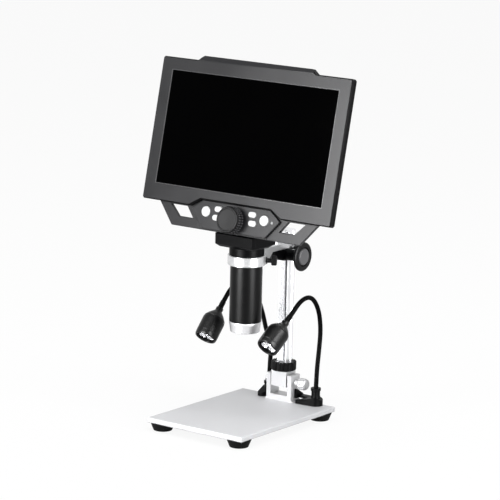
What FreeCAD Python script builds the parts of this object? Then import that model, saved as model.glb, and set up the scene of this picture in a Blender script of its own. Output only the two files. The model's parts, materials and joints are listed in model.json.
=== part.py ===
import FreeCAD, Part
import math
import os

# A desk microscope: a lens tube under a wide leaning display, carried by a rack column on a flat
# base, with two lamps on goosenecks. Millimetres, X to the user's right, Y to the back, Z up,
# with the origin on the table under the middle of the base plate.

# Base plate and rubber feet
PLATE_WIDTH = 114.0
PLATE_DEPTH = 154.0
PLATE_THICK = 5.0
PLATE_BEVEL = 0.8
FOOT_HEIGHT = 7.5
FOOT_TOP_RADIUS = 12.0
FOOT_BOTTOM_RADIUS = 9.0
FOOT_INSET = 11.0
SCREW_RADIUS = 1.6
SCREW_HEAD_RADIUS = 3.1
SCREW_HEAD_HEIGHT = 1.8
SCREW_BITE = 3.5

# Tilting bracket behind the plate's middle
COLUMN_SETBACK = 9.85
PIVOT_HEIGHT = 19.3
WEB_THICK = 5.9
CHEEK_THICK = 4.7
CHEEK_DEPTH = 14.8
CHEEK_RISE = 7.7
CHEEK_GAP = 0.25
FLARE = 2.2
PIVOT_RADIUS = 2.5
PIVOT_CLEARANCE = 0.08
THUMB_RADIUS = 5.8
THUMB_LENGTH = 9.0
THUMB_REACH = 5.0
NUT_ACROSS = 8.0
NUT_THICK = 4.0

# Column: an aluminium rail with a toothed rack in its front channel
RAIL_WIDTH = 11.0
RAIL_DEPTH = 10.7
RAIL_LENGTH = 144.0
CHANNEL_WIDTH = 8.0
CHANNEL_DEPTH = 3.4
RACK_WIDTH = 6.0
RACK_PROUD = 3.0
RAIL_SEAT = 7.2
BLOCK_BELOW = 4.8
BLOCK_ABOVE = 11.0
BLOCK_WALL = 1.15
BLOCK_INSET = 0.9
WASHER_RADIUS = 4.1
SPIGOT_WALL = 1.2
RING_NUT_WALL = 2.6
RING_NUT_HEIGHT = 9.0
RING_NUT_LIP = 1.0
RING_NUT_FLUTES = 18
RING_NUT_FLUTE_RADIUS = 1.2
CAP_THICK = 2.0

# Rack and pinion
GEAR_MODULE = 0.6
PINION_TEETH = 14
PRESSURE_ANGLE = math.radians(20)
RACK_ADDENDUM = 0.45
PINION_ADDENDUM = 0.5
DEDENDUM = 0.6
BACKLASH = 0.04
PINION_WIDTH = 8.0
SHAFT_RADIUS = 2.0
SHAFT_CLEARANCE = 0.05

# Carriage, focus knobs and the arm that holds the lens tube
THROAT = 65.4
FOCUS_HEIGHT = 149.75
BARREL_RADIUS = 5.75
BARREL_HALF_LENGTH = 22.0
CARRIAGE_WIDTH = 18.0
CARRIAGE_BACK_WALL = 4.8
NOSE_REACH = 21.5
SLIDE_GAP = 0.2
PAD_THICK = 2.1
PAD_WIDTH = 8.0
KNOB_RADIUS = 14.3
KNOB_THICK = 4.2
KNOB_FACE_RADIUS = 8.0
KNOB_HUB_RADIUS = 5.5
KNOB_STANDOFF = 3.0
RING_HEIGHT = 9.6
RING_RAISE = 2.0
RING_WALL = 2.8
ARM_WIDTH = 18.0
ARM_THICK = 6.2
CLAMP_ANGLE = math.radians(40)
CLAMP_HEAD_RADIUS = 4.9
CLAMP_NECK = 4.0

# Lens tube and what is in it
TUBE_RADIUS = 15.7
TUBE_WALL = 2.2
TUBE_CLEARANCE = 0.08
TUBE_DROP = 56.05
TIP_LENGTH = 10.4
TIP_END_RADIUS = 14.4
TIP_WALL = 2.5
COLLAR_HEIGHT = 7.65
COLLAR_WALL = 1.3
BOARD_THICK = 1.6
LED_COUNT = 8
LENS_TRAVEL = 6.0

# Neck between the lens tube and the display
NECK_WIDTH = 48.2
NECK_AHEAD = 21.6
NECK_BEHIND = 13.2
FLANGE_INSET = 4.4
FLANGE_THICK = 3.0

# Display housing, drawn upright with its front face at depth 0 and then leant back
DISPLAY_LEAN = 12.67
DISPLAY_AHEAD = 22.3
DISPLAY_RISE = 33.5
SCREEN_WIDTH = 198.0
SCREEN_HEIGHT = 111.4
SCREEN_BASE = 16.7
SIDE_BORDER = 13.4
TOP_BORDER = 12.1
HOUSING_CORNER = 1.6
BEZEL_DEPTH = 3.8
RIM_DEPTH = 8.0
GROOVE = 0.5
SHELL_WALL = 2.0
HUMP_BASE_WIDTH = 140.0
HUMP_TOP_WIDTH = 128.0
HUMP_RISE = 4.7
HUMP_BEVEL = 3.6
HUMP_BEVEL_DEPTH = 2.0
NOTCH_BASE_WIDTH = 109.0
NOTCH_TOP_WIDTH = 84.0
NOTCH_RISE = 7.5
GLASS_RECESS = 0.5
LCD_THICK = 3.4
BULGE_DEPTH = 24.0
BULGE_SIDE_MARGIN = 30.4
BULGE_TOP_MARGIN = 16.2
BULGE_TAPER = 10.0

# Main board and battery inside the display
BOARD_LEFT = 4.0
BOARD_SIDE_MARGIN = 6.0
BOARD_LOW_MARGIN = 8.0
BOARD_HIGH_MARGIN = 22.5
BOARD_SPACE = 10.5
BATTERY_GAP = 6.0
BATTERY_THICK = 6.5

# Wing frame and control panel under the display
WING_TOP_WIDTH = 188.4
WING_BASE_WIDTH = 152.4
WING_DROP = 21.5
WING_DEPTH = 6.0
WING_THICK = 4.0
WINDOW_OUTER_TOP = 13.9
WINDOW_INNER_TOP = 34.0
WINDOW_OUTER_BASE = 6.7
WINDOW_INNER_BASE = 24.5
WINDOW_TOP = 1.2
WINDOW_SILL = 9.7
PANEL_DEPTH = 3.0
PANEL_WALL = 1.6
BUTTON_TRAVEL = 0.6
BUTTON_PROUD = 1.1
BUTTON_GAP = 0.25
BUTTON_RADIUS = 5.0
OVAL_LENGTH = 9.0
OVAL_WIDTH = 5.4
WHEEL_UP = -8.0
WHEEL_RADIUS = 13.3
WHEEL_RIM = 8.0
WHEEL_FACE_RADIUS = 12.2
WHEEL_FACE_RISE = 1.8
WHEEL_GRIPS = 36
WHEEL_SHAFT_RADIUS = 3.0

# Lamps
GOOSENECK_RADIUS = 2.35
SOCKET_RADIUS = 4.3
SOCKET_HEIGHT = 17.5
LEFT_SOCKET_HEIGHT = 14.0
LAMP_FOOT_RADIUS = 7.2
LAMP_FOOT_HEIGHT = 8.6
TONGUE_THICK = 2.6
RIGHT_TONGUE_GAP = 3.2
LEFT_TONGUE_GAP = 7.4
RIGHT_SOCKET_X = 38.0
RIGHT_SOCKET_BACK = 2.5
RIGHT_ARCH_HEIGHT = 123.9
LEFT_SOCKET_X = -22.5
LEFT_SOCKET_BACK = 7.0
LEFT_ARCH_HEIGHT = 128.2
LAMP_REACH = 51.2
FIN_RISE = 10.5
LAMP_RADIUS = 11.25
LAMP_FACE_RADIUS = 10.5
LAMP_BODY = 22.0
LAMP_CONE = 9.0
LAMP_SLEEVE = 3.7
LAMP_WALL = 1.4
FIT_GAP = 0.3

# Heights and places that follow from the sizes above
PLATE_TOP = FOOT_HEIGHT + PLATE_THICK
COLUMN_Y = PLATE_DEPTH / 2 - COLUMN_SETBACK
PIVOT_Z = PLATE_TOP + PIVOT_HEIGHT
TUBE_Y = COLUMN_Y - THROAT
COLUMN_HALF_DEPTH = (RAIL_DEPTH + RACK_PROUD) / 2
RAIL_BACK = COLUMN_Y + COLUMN_HALF_DEPTH
RAIL_FRONT = RAIL_BACK - RAIL_DEPTH
RACK_FRONT = RAIL_FRONT - RACK_PROUD
SPIGOT_RADIUS = math.hypot(RAIL_WIDTH / 2, COLUMN_HALF_DEPTH) + SPIGOT_WALL
BLOCK_TOP = PIVOT_Z + BLOCK_ABOVE
RING_NUT_BOTTOM = BLOCK_TOP + FIT_GAP
RING_NUT_TOP = RING_NUT_BOTTOM + RING_NUT_HEIGHT
RING_NUT_RADIUS = SPIGOT_RADIUS + RING_NUT_WALL
CHEEK_INNER = SPIGOT_RADIUS + CHEEK_GAP
CHEEK_OUTER = CHEEK_INNER + CHEEK_THICK
RAIL_BOTTOM = PIVOT_Z + RAIL_SEAT
RAIL_TOP = RAIL_BOTTOM + RAIL_LENGTH
RACK_BOTTOM = RING_NUT_TOP + 1.0
PINION_RADIUS = GEAR_MODULE * PINION_TEETH / 2
TOOTH_PITCH = math.pi * GEAR_MODULE
PINION_Y = RACK_FRONT + RACK_ADDENDUM - PINION_RADIUS
FOCUS_Z = PLATE_TOP + FOCUS_HEIGHT
CARRIAGE_BOTTOM = FOCUS_Z - BARREL_RADIUS
CARRIAGE_TOP = FOCUS_Z + BARREL_RADIUS
CARRIAGE_BACK = RAIL_BACK + SLIDE_GAP + CARRIAGE_BACK_WALL
NOSE_FRONT = PINION_Y - NOSE_REACH
RING_TOP = FOCUS_Z + RING_RAISE + RING_HEIGHT / 2
RING_BOTTOM = RING_TOP - RING_HEIGHT
CLAMP_Z = FOCUS_Z + RING_RAISE / 2
RING_BORE = TUBE_RADIUS + TUBE_CLEARANCE
RING_RADIUS = RING_BORE + RING_WALL
ARM_TOP = CARRIAGE_TOP + ARM_THICK
COLLAR_BOTTOM = RING_TOP + FIT_GAP
COLLAR_TOP = COLLAR_BOTTOM + COLLAR_HEIGHT
COLLAR_RADIUS = TUBE_RADIUS + COLLAR_WALL
NECK_BOTTOM = COLLAR_TOP + FLANGE_THICK
TUBE_BOTTOM = RING_BOTTOM - TUBE_DROP
TUBE_BORE = TUBE_RADIUS - TUBE_WALL
TIP_BOTTOM = TUBE_BOTTOM - TIP_LENGTH
TIP_BORE = TUBE_RADIUS - TIP_WALL
LED_BOARD_Z = TIP_BOTTOM + 3.0
LEAN = math.radians(DISPLAY_LEAN)
DISPLAY_Y = TUBE_Y - DISPLAY_AHEAD
DISPLAY_Z = NECK_BOTTOM + DISPLAY_RISE
HOUSING_WIDTH = SCREEN_WIDTH + 2 * SIDE_BORDER
HOUSING_HEIGHT = SCREEN_BASE + SCREEN_HEIGHT + TOP_BORDER
CAVITY_SIDE = 8.0
CAVITY_BASE = 11.5
CAVITY_TOP = HOUSING_HEIGHT - 6.0
GLASS_BACK = SHELL_WALL
LCD_BACK = GLASS_BACK + LCD_THICK
BULGE_BASE = NOTCH_RISE + 1.5
BULGE_WIDTH = HOUSING_WIDTH - 2 * BULGE_SIDE_MARGIN
BULGE_HEIGHT = HOUSING_HEIGHT - BULGE_TOP_MARGIN - BULGE_BASE
SOCKET_DEPTH = 8.0
RIGHT_ROUTE_START = PLATE_TOP + SOCKET_HEIGHT - SOCKET_DEPTH
LEFT_ROUTE_START = PLATE_TOP + LEFT_SOCKET_HEIGHT - SOCKET_DEPTH
WING_BACK = WING_DEPTH + WING_THICK


def vec(x, y, z):
    return FreeCAD.Vector(x, y, z)


UP = vec(0, 0, 1)


def box(x0, x1, y0, y1, z0, z1):
    return Part.makeBox(x1 - x0, y1 - y0, z1 - z0, vec(x0, y0, z0))


def rod(radius, start, end):
    axis = end - start
    return Part.makeCylinder(radius, axis.Length, start, axis)


def prism(points, push):
    return Part.Face(Part.makePolygon(points + points[:1])).extrude(push)


# A profile of (radius, height) pairs spun about an axis that leaves start in one direction
def turned(profile, start, direction):
    points = [vec(radius, 0, height) for radius, height in profile]
    face = Part.Face(Part.makePolygon(points + points[:1]))
    solid = face.revolve(vec(0, 0, 0), UP, 360)
    solid.Placement = FreeCAD.Placement(start, FreeCAD.Rotation(UP, direction))
    return solid


# An outline in the side view, pushed sideways by half its width each way
def side_prism(outline, width):
    points = [vec(-width / 2, y, z) for y, z in outline]
    return prism(points, vec(width, 0, 0))


# An outline across and up the display, from one depth to another
def slab(outline, near, far):
    points = [vec(across, near, up) for across, up in outline]
    return prism(points, vec(0, far - near, 0))


def grown(outline_face, by, near, far):
    face = outline_face.makeOffset2D(by, join=2)
    face.translate(vec(0, near, 0))
    return face.extrude(vec(0, far - near, 0))


# A frustum between two rectangles (left, right, bottom, top) at two depths of the display
def frustum(base, near, top, far):
    wires = []
    for (left, right, bottom, upper), depth in ((base, near), (top, far)):
        corners = [vec(left, depth, bottom), vec(right, depth, bottom)]
        corners += [vec(right, depth, upper), vec(left, depth, upper)]
        wires.append(Part.makePolygon(corners + corners[:1]))
    return Part.makeLoft(wires, True, True)


def joined(first, *others):
    return first.fuse(list(others)).removeSplitter()


# The height and the distance back of a point of the leaning display, from its depth and its up
def display_point(depth, up):
    y = DISPLAY_Y + up * math.sin(LEAN) + depth * math.cos(LEAN)
    z = DISPLAY_Z + up * math.cos(LEAN) - depth * math.sin(LEAN)
    return y, z


def leant(shape):
    shape.rotate(vec(0, 0, 0), vec(1, 0, 0), -DISPLAY_LEAN)
    shape.translate(vec(0, DISPLAY_Y, DISPLAY_Z))
    return shape


# Edges of a shape whose two ends pass a test on their points
def edges_where(shape, test):
    return [edge for edge in shape.Edges if all(test(vertex.Point) for vertex in edge.Vertexes)]


def near(value, target):
    return abs(value - target) < 0.01


PARTS = {}


def keep(name, shape):
    PARTS[name] = shape


# Base plate

FOOT_SPOTS = {}
for side_name, side in (("left", -1), ("right", 1)):
    for end_name, end in (("front", -1), ("rear", 1)):
        spot_x = side * (PLATE_WIDTH / 2 - FOOT_INSET)
        spot_y = end * (PLATE_DEPTH / 2 - FOOT_INSET)
        FOOT_SPOTS[f"foot_{end_name}_{side_name}"] = (spot_x, spot_y)

BRACKET_SCREW_SPOTS = [(-6.0, COLUMN_Y), (6.0, COLUMN_Y)]
PLATE_SCREW_TIP = PLATE_TOP + WEB_THICK * 0.6


# A screw from below: the head starts at one height and the shank ends at another
def screw(x, y, head_z, end_z):
    head = rod(SCREW_HEAD_RADIUS, vec(x, y, head_z), vec(x, y, head_z + SCREW_HEAD_HEIGHT))
    shank = rod(SCREW_RADIUS, vec(x, y, head_z), vec(x, y, end_z))
    drive = rod(SCREW_RADIUS * 0.7, vec(x, y, head_z), vec(x, y, head_z + SCREW_HEAD_HEIGHT * 0.6))
    return head.fuse(shank).removeSplitter().cut(drive)


# The recess for the head of a screw that comes up through the plate
def plate_screw_hole(x, y):
    recess_top = FOOT_HEIGHT + SCREW_HEAD_HEIGHT
    recess = rod(SCREW_HEAD_RADIUS + FIT_GAP, vec(x, y, FOOT_HEIGHT), vec(x, y, recess_top))
    return recess.fuse(rod(SCREW_RADIUS, vec(x, y, FOOT_HEIGHT), vec(x, y, PLATE_TOP)))


# A gooseneck's control points: its start inside the socket, and then points given as shares of the
# lamp's reach across and along, and of the arch's height
def gooseneck_route(socket, start_height, arch_height, shares):
    route = [vec(socket.x, socket.y, start_height)]
    for across, along, rise in shares:
        x = socket.x + across * LAMP_REACH
        route.append(vec(x, COLUMN_Y + along * LAMP_REACH, rise * arch_height))
    return route


RIGHT_SOCKET = vec(RIGHT_SOCKET_X, COLUMN_Y + RIGHT_SOCKET_BACK, PLATE_TOP)
RIGHT_SHARES = [
    (0.0, 0.059, 0.371), (-0.014, 0.137, 0.533), (-0.020, 0.191, 0.710), (-0.020, 0.098, 0.884),
    (-0.016, -0.156, 1.0), (-0.012, -0.498, 0.994), (-0.008, -0.807, 0.898), (-0.021, -1.0, 0.837),
]
LEFT_SOCKET = vec(LEFT_SOCKET_X, COLUMN_Y + LEFT_SOCKET_BACK, PLATE_TOP)
LEFT_SHARES = [
    (0.0, 0.148, 0.328), (-0.008, 0.199, 0.468), (-0.174, 0.238, 0.597), (-0.275, 0.238, 0.741),
    (-0.369, 0.117, 0.905), (-0.400, -0.207, 1.0), (-0.400, -0.578, 0.984), (-0.393, -0.828, 0.899),
    (-0.393, -1.0, 0.822),
]

# Lamp feet: where each socket stands, where its tongue points, and how wide the tongue's end is
LAMP_SIDES = {
    "right": {
        "side": 1,
        "socket": RIGHT_SOCKET,
        "socket_height": SOCKET_HEIGHT,
        "tongue": vec(CHEEK_OUTER + FLARE + RIGHT_TONGUE_GAP, COLUMN_Y - 4.4, PLATE_TOP),
        "tongue_radius": 1.6,
        "route": gooseneck_route(RIGHT_SOCKET, RIGHT_ROUTE_START, RIGHT_ARCH_HEIGHT, RIGHT_SHARES),
    },
    "left": {
        "side": -1,
        "socket": LEFT_SOCKET,
        "socket_height": LEFT_SOCKET_HEIGHT,
        "tongue": vec(-CHEEK_OUTER - FLARE - LEFT_TONGUE_GAP, COLUMN_Y - 1.2, PLATE_TOP),
        "tongue_radius": 4.5,
        "route": gooseneck_route(LEFT_SOCKET, LEFT_ROUTE_START, LEFT_ARCH_HEIGHT, LEFT_SHARES),
    },
}


def tongue_screw_spot(lamp):
    spot = lamp["socket"] + (lamp["tongue"] - lamp["socket"]) * 0.42
    return spot.x, spot.y


def make_base():
    half_width = PLATE_WIDTH / 2
    half_depth = PLATE_DEPTH / 2
    plate = box(-half_width, half_width, -half_depth, half_depth, FOOT_HEIGHT, PLATE_TOP)
    plate = plate.makeChamfer(PLATE_BEVEL, plate.Edges)
    lamp_spots = [tongue_screw_spot(lamp) for lamp in LAMP_SIDES.values()]
    plate_screws = []
    for x, y in BRACKET_SCREW_SPOTS + lamp_spots:
        plate = plate.cut(plate_screw_hole(x, y))
        plate_screws.append(screw(x, y, FOOT_HEIGHT, PLATE_SCREW_TIP))
    screws = []
    recess = FOOT_HEIGHT / 3
    for name, (x, y) in FOOT_SPOTS.items():
        foot = Part.makeCone(FOOT_BOTTOM_RADIUS, FOOT_TOP_RADIUS, FOOT_HEIGHT, vec(x, y, 0), UP)
        recess_end = vec(x, y, recess + SCREW_HEAD_HEIGHT)
        foot = foot.cut(rod(SCREW_HEAD_RADIUS + FIT_GAP, vec(x, y, 0), recess_end))
        foot = foot.cut(rod(SCREW_RADIUS, vec(x, y, 0), vec(x, y, FOOT_HEIGHT)))
        keep(name, foot)
        tip = FOOT_HEIGHT + SCREW_BITE
        plate = plate.cut(rod(SCREW_RADIUS, vec(x, y, FOOT_HEIGHT - 1), vec(x, y, tip)))
        screws.append(screw(x, y, recess, tip))
    keep("base_plate", plate)
    keep("foot_screws", Part.makeCompound(screws))
    keep("plate_screws", Part.makeCompound(plate_screws))


# Bracket: a web on the plate, two upright cheeks, and the bore for the tilt screw

BRACKET_FRONT = COLUMN_Y - CHEEK_DEPTH / 2
BRACKET_BACK = COLUMN_Y + CHEEK_DEPTH / 2
WEB_TOP = PLATE_TOP + WEB_THICK
CHEEK_TOP = PIVOT_Z + CHEEK_RISE
THUMB_NECK = CHEEK_OUTER + FIT_GAP / 2
THUMB_START = THUMB_NECK + THUMB_REACH
THUMB_END = THUMB_START + THUMB_LENGTH


def make_bracket():
    outer = [(-CHEEK_OUTER - FLARE, PLATE_TOP), (CHEEK_OUTER + FLARE, PLATE_TOP)]
    outer += [(CHEEK_OUTER, PLATE_TOP + FLARE), (CHEEK_OUTER, CHEEK_TOP)]
    outer += [(CHEEK_INNER, CHEEK_TOP), (CHEEK_INNER, WEB_TOP)]
    outer += [(-CHEEK_INNER, WEB_TOP), (-CHEEK_INNER, CHEEK_TOP)]
    outer += [(-CHEEK_OUTER, CHEEK_TOP), (-CHEEK_OUTER, PLATE_TOP + FLARE)]
    points = [vec(x, BRACKET_FRONT, z) for x, z in outer]
    bracket = prism(points, vec(0, CHEEK_DEPTH, 0))
    upright_corners = edges_where(bracket, lambda p: near(p.z, CHEEK_TOP) and abs(p.x) > CHEEK_INNER)
    bracket = bracket.makeChamfer(0.6, upright_corners)
    bore = PIVOT_RADIUS + PIVOT_CLEARANCE
    start = vec(-CHEEK_OUTER - 1, COLUMN_Y, PIVOT_Z)
    bracket = bracket.cut(rod(bore, start, vec(CHEEK_OUTER + 1, COLUMN_Y, PIVOT_Z)))
    for x, y in BRACKET_SCREW_SPOTS:
        hole_start = vec(x, y, PLATE_TOP - 1)
        bracket = bracket.cut(rod(SCREW_RADIUS, hole_start, vec(x, y, PLATE_SCREW_TIP)))
    keep("hinge_bracket", bracket)


def make_tilt_screw():
    across = vec(1, 0, 0)
    start = vec(-CHEEK_OUTER - NUT_THICK - 1.0, COLUMN_Y, PIVOT_Z)
    neck = THUMB_NECK - start.x
    head = THUMB_START - start.x
    end = THUMB_END - start.x
    profile = [(0, 0), (PIVOT_RADIUS, 0), (PIVOT_RADIUS, neck), (PIVOT_RADIUS * 1.4, neck)]
    profile += [(PIVOT_RADIUS * 1.4, head), (THUMB_RADIUS * 0.85, head)]
    profile += [(THUMB_RADIUS, head + 1.2), (THUMB_RADIUS, end - 1.2)]
    profile += [(THUMB_RADIUS * 0.8, end), (0, end)]
    screw_shape = turned(profile, start, across)
    grip_count = 12
    for step in range(grip_count):
        angle = 2 * math.pi * step / grip_count
        y = COLUMN_Y + THUMB_RADIUS * 1.06 * math.cos(angle)
        z = PIVOT_Z + THUMB_RADIUS * 1.06 * math.sin(angle)
        groove = rod(THUMB_RADIUS * 0.14, vec(THUMB_START - 1, y, z), vec(THUMB_END + 1, y, z))
        screw_shape = screw_shape.cut(groove)
    keep("tilt_thumbscrew", screw_shape)
    corner = NUT_ACROSS / math.sqrt(3)
    hexagon = []
    for step in range(6):
        angle = math.radians(60 * step)
        y = COLUMN_Y + corner * math.cos(angle)
        z = PIVOT_Z + corner * math.sin(angle)
        hexagon.append(vec(-CHEEK_OUTER - NUT_THICK, y, z))
    nut = prism(hexagon, vec(NUT_THICK, 0, 0))
    bore_end = vec(-CHEEK_OUTER + 1, COLUMN_Y, PIVOT_Z)
    bore = rod(PIVOT_RADIUS + PIVOT_CLEARANCE, start, bore_end)
    keep("tilt_nut", nut.cut(bore))


# Column

def make_column():
    half = SPIGOT_RADIUS - BLOCK_INSET
    block_front = COLUMN_Y - COLUMN_HALF_DEPTH - BLOCK_WALL
    block_back = COLUMN_Y + COLUMN_HALF_DEPTH + BLOCK_WALL
    block = box(-half, half, block_front, block_back, PIVOT_Z - BLOCK_BELOW, BLOCK_TOP)
    lip_bottom = RING_NUT_TOP - RING_NUT_LIP
    spigot_top = lip_bottom - FIT_GAP
    spigot = rod(SPIGOT_RADIUS, vec(0, COLUMN_Y, BLOCK_TOP), vec(0, COLUMN_Y, spigot_top))
    block = block.fuse(spigot).removeSplitter()
    rail_half = RAIL_WIDTH / 2
    socket = box(-rail_half, rail_half, RAIL_FRONT, RAIL_BACK, RAIL_BOTTOM, RING_NUT_TOP)
    bore_start = vec(-half - 1, COLUMN_Y, PIVOT_Z)
    bore = rod(PIVOT_RADIUS + PIVOT_CLEARANCE, bore_start, vec(half + 1, COLUMN_Y, PIVOT_Z))
    wide = SPIGOT_RADIUS + 1
    slit = box(-wide, wide, COLUMN_Y - 0.6, COLUMN_Y + 0.6, BLOCK_TOP, RING_NUT_TOP)
    keep("pivot_block", block.cut(socket).cut(bore).cut(slit))
    washers = []
    for side in (-1, 1):
        inside = vec(side * half, COLUMN_Y, PIVOT_Z)
        outside = vec(side * SPIGOT_RADIUS, COLUMN_Y, PIVOT_Z)
        washer_bore = rod(PIVOT_RADIUS + PIVOT_CLEARANCE, inside, outside)
        washers.append(rod(WASHER_RADIUS, inside, outside).cut(washer_bore))
    keep("pivot_washers", Part.makeCompound(washers))

    rail = box(-rail_half, rail_half, RAIL_FRONT, RAIL_BACK, RAIL_BOTTOM, RAIL_TOP)
    channel_half = CHANNEL_WIDTH / 2
    channel_back = RAIL_FRONT + CHANNEL_DEPTH
    channel = box(-channel_half, channel_half, RAIL_FRONT - 1, channel_back, RAIL_BOTTOM, RAIL_TOP)
    rail = rail.cut(channel)
    groove_y = (channel_back + RAIL_BACK) / 2
    for side in (-1, 1):
        groove = [vec(side * rail_half, groove_y - 1.2, RAIL_BOTTOM)]
        groove += [vec(side * (rail_half - 1.0), groove_y, RAIL_BOTTOM)]
        groove += [vec(side * rail_half, groove_y + 1.2, RAIL_BOTTOM)]
        rail = rail.cut(prism(groove, vec(0, 0, RAIL_LENGTH)))
    keep("column_rail", rail)

    tip_half = TOOTH_PITCH / 4 - BACKLASH / 2 - RACK_ADDENDUM * math.tan(PRESSURE_ANGLE)
    root_half = TOOTH_PITCH / 4 - BACKLASH / 2 + DEDENDUM * math.tan(PRESSURE_ANGLE)
    root_y = RACK_FRONT + RACK_ADDENDUM + DEDENDUM
    outline = [(channel_back, RACK_BOTTOM), (root_y, RACK_BOTTOM)]
    for tooth in range(rack_tooth_count()):
        centre = RACK_BOTTOM + (tooth + 0.5) * TOOTH_PITCH
        outline += [(root_y, centre - root_half), (RACK_FRONT, centre - tip_half)]
        outline += [(RACK_FRONT, centre + tip_half), (root_y, centre + root_half)]
    outline += [(root_y, RAIL_TOP), (channel_back, RAIL_TOP)]
    keep("column_rack", side_prism(outline, RACK_WIDTH))

    cap = box(-rail_half, rail_half, RACK_FRONT, RAIL_BACK, RAIL_TOP, RAIL_TOP + CAP_THICK)
    top_edges = edges_where(cap, lambda p: near(p.z, RAIL_TOP + CAP_THICK))
    keep("column_cap", cap.makeChamfer(CAP_THICK * 0.3, top_edges))

    nut_start = vec(0, COLUMN_Y, RING_NUT_BOTTOM)
    inner = SPIGOT_RADIUS + SHAFT_CLEARANCE
    lip_inner = SPIGOT_RADIUS - SPIGOT_WALL + FIT_GAP
    lip_start = RING_NUT_HEIGHT - RING_NUT_LIP
    profile = [(inner, 0), (RING_NUT_RADIUS - 0.6, 0), (RING_NUT_RADIUS, 0.6)]
    profile += [(RING_NUT_RADIUS, RING_NUT_HEIGHT - 0.6), (RING_NUT_RADIUS - 0.6, RING_NUT_HEIGHT)]
    profile += [(lip_inner, RING_NUT_HEIGHT), (lip_inner, lip_start), (inner, lip_start)]
    nut = turned(profile, nut_start, UP)
    for step in range(RING_NUT_FLUTES):
        angle = 2 * math.pi * step / RING_NUT_FLUTES
        x = RING_NUT_RADIUS * math.cos(angle)
        y = COLUMN_Y + RING_NUT_RADIUS * math.sin(angle)
        flute = rod(RING_NUT_FLUTE_RADIUS, vec(x, y, RING_NUT_BOTTOM - 1), vec(x, y, RING_NUT_TOP + 1))
        nut = nut.cut(flute)
    keep("ring_nut", nut)


def rack_tooth_count():
    return int((RAIL_TOP - RACK_BOTTOM) / TOOTH_PITCH)


# Pinion: involute teeth, turned so that a gap takes the rack tooth nearest to the shaft's height

def involute(angle):
    return math.tan(angle) - angle


def make_pinion():
    base_radius = PINION_RADIUS * math.cos(PRESSURE_ANGLE)
    tip_radius = PINION_RADIUS + PINION_ADDENDUM
    root_radius = PINION_RADIUS - DEDENDUM
    pitch_half = (TOOTH_PITCH / 2 - BACKLASH) / (2 * PINION_RADIUS)
    flank_steps = 4
    flank = [(root_radius, pitch_half + involute(PRESSURE_ANGLE))]
    for step in range(flank_steps):
        radius = base_radius + (tip_radius - base_radius) * step / (flank_steps - 1)
        reach = math.acos(min(1.0, base_radius / radius))
        flank.append((radius, pitch_half + involute(PRESSURE_ANGLE) - involute(reach)))
    first_tooth = RACK_BOTTOM + TOOTH_PITCH / 2
    below = (FOCUS_Z - first_tooth) % TOOTH_PITCH
    gap_angle = -below / PINION_RADIUS
    tooth_angle = 2 * math.pi / PINION_TEETH
    points = []
    for tooth in range(PINION_TEETH):
        centre = gap_angle + (tooth + 0.5) * tooth_angle
        rising = [(radius, centre - half) for radius, half in flank]
        falling = [(radius, centre + half) for radius, half in reversed(flank)]
        for radius, angle in rising + falling:
            y = PINION_Y + radius * math.cos(angle)
            z = FOCUS_Z + radius * math.sin(angle)
            points.append(vec(-PINION_WIDTH / 2, y, z))
    gear = prism(points, vec(PINION_WIDTH, 0, 0))
    knob_outer = BARREL_HALF_LENGTH + FIT_GAP + KNOB_STANDOFF + KNOB_THICK
    shaft_end = knob_outer - 1.5
    start = vec(-shaft_end, PINION_Y, FOCUS_Z)
    shaft = rod(SHAFT_RADIUS, start, vec(shaft_end, PINION_Y, FOCUS_Z))
    keep("pinion_shaft", joined(gear, shaft))

    disc = KNOB_STANDOFF + KNOB_THICK
    for name, side in (("focus_knob_left", -1), ("focus_knob_right", 1)):
        start = vec(side * (BARREL_HALF_LENGTH + FIT_GAP), PINION_Y, FOCUS_Z)
        profile = [(SHAFT_RADIUS, 0), (KNOB_HUB_RADIUS, 0), (KNOB_HUB_RADIUS, KNOB_STANDOFF)]
        profile += [(KNOB_RADIUS - 1.0, KNOB_STANDOFF), (KNOB_RADIUS, KNOB_STANDOFF + 1.0)]
        profile += [(KNOB_RADIUS, disc - 1.4), (KNOB_RADIUS - 1.0, disc - 0.7)]
        profile += [(KNOB_FACE_RADIUS + 1.6, disc - 0.7), (KNOB_FACE_RADIUS + 0.6, disc - 1.6)]
        profile += [(KNOB_FACE_RADIUS, disc - 1.6), (KNOB_FACE_RADIUS, disc - 0.4)]
        profile += [(KNOB_FACE_RADIUS - 0.6, disc), (0, disc), (0, disc - 1.5)]
        profile += [(SHAFT_RADIUS, disc - 1.5)]
        keep(name, turned(profile, start, vec(side, 0, 0)))


# Carriage, its pad, and the arm with the ring

ARM_SCREW_SPOTS = [PINION_Y - 16.5, PINION_Y - 8.5]


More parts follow.
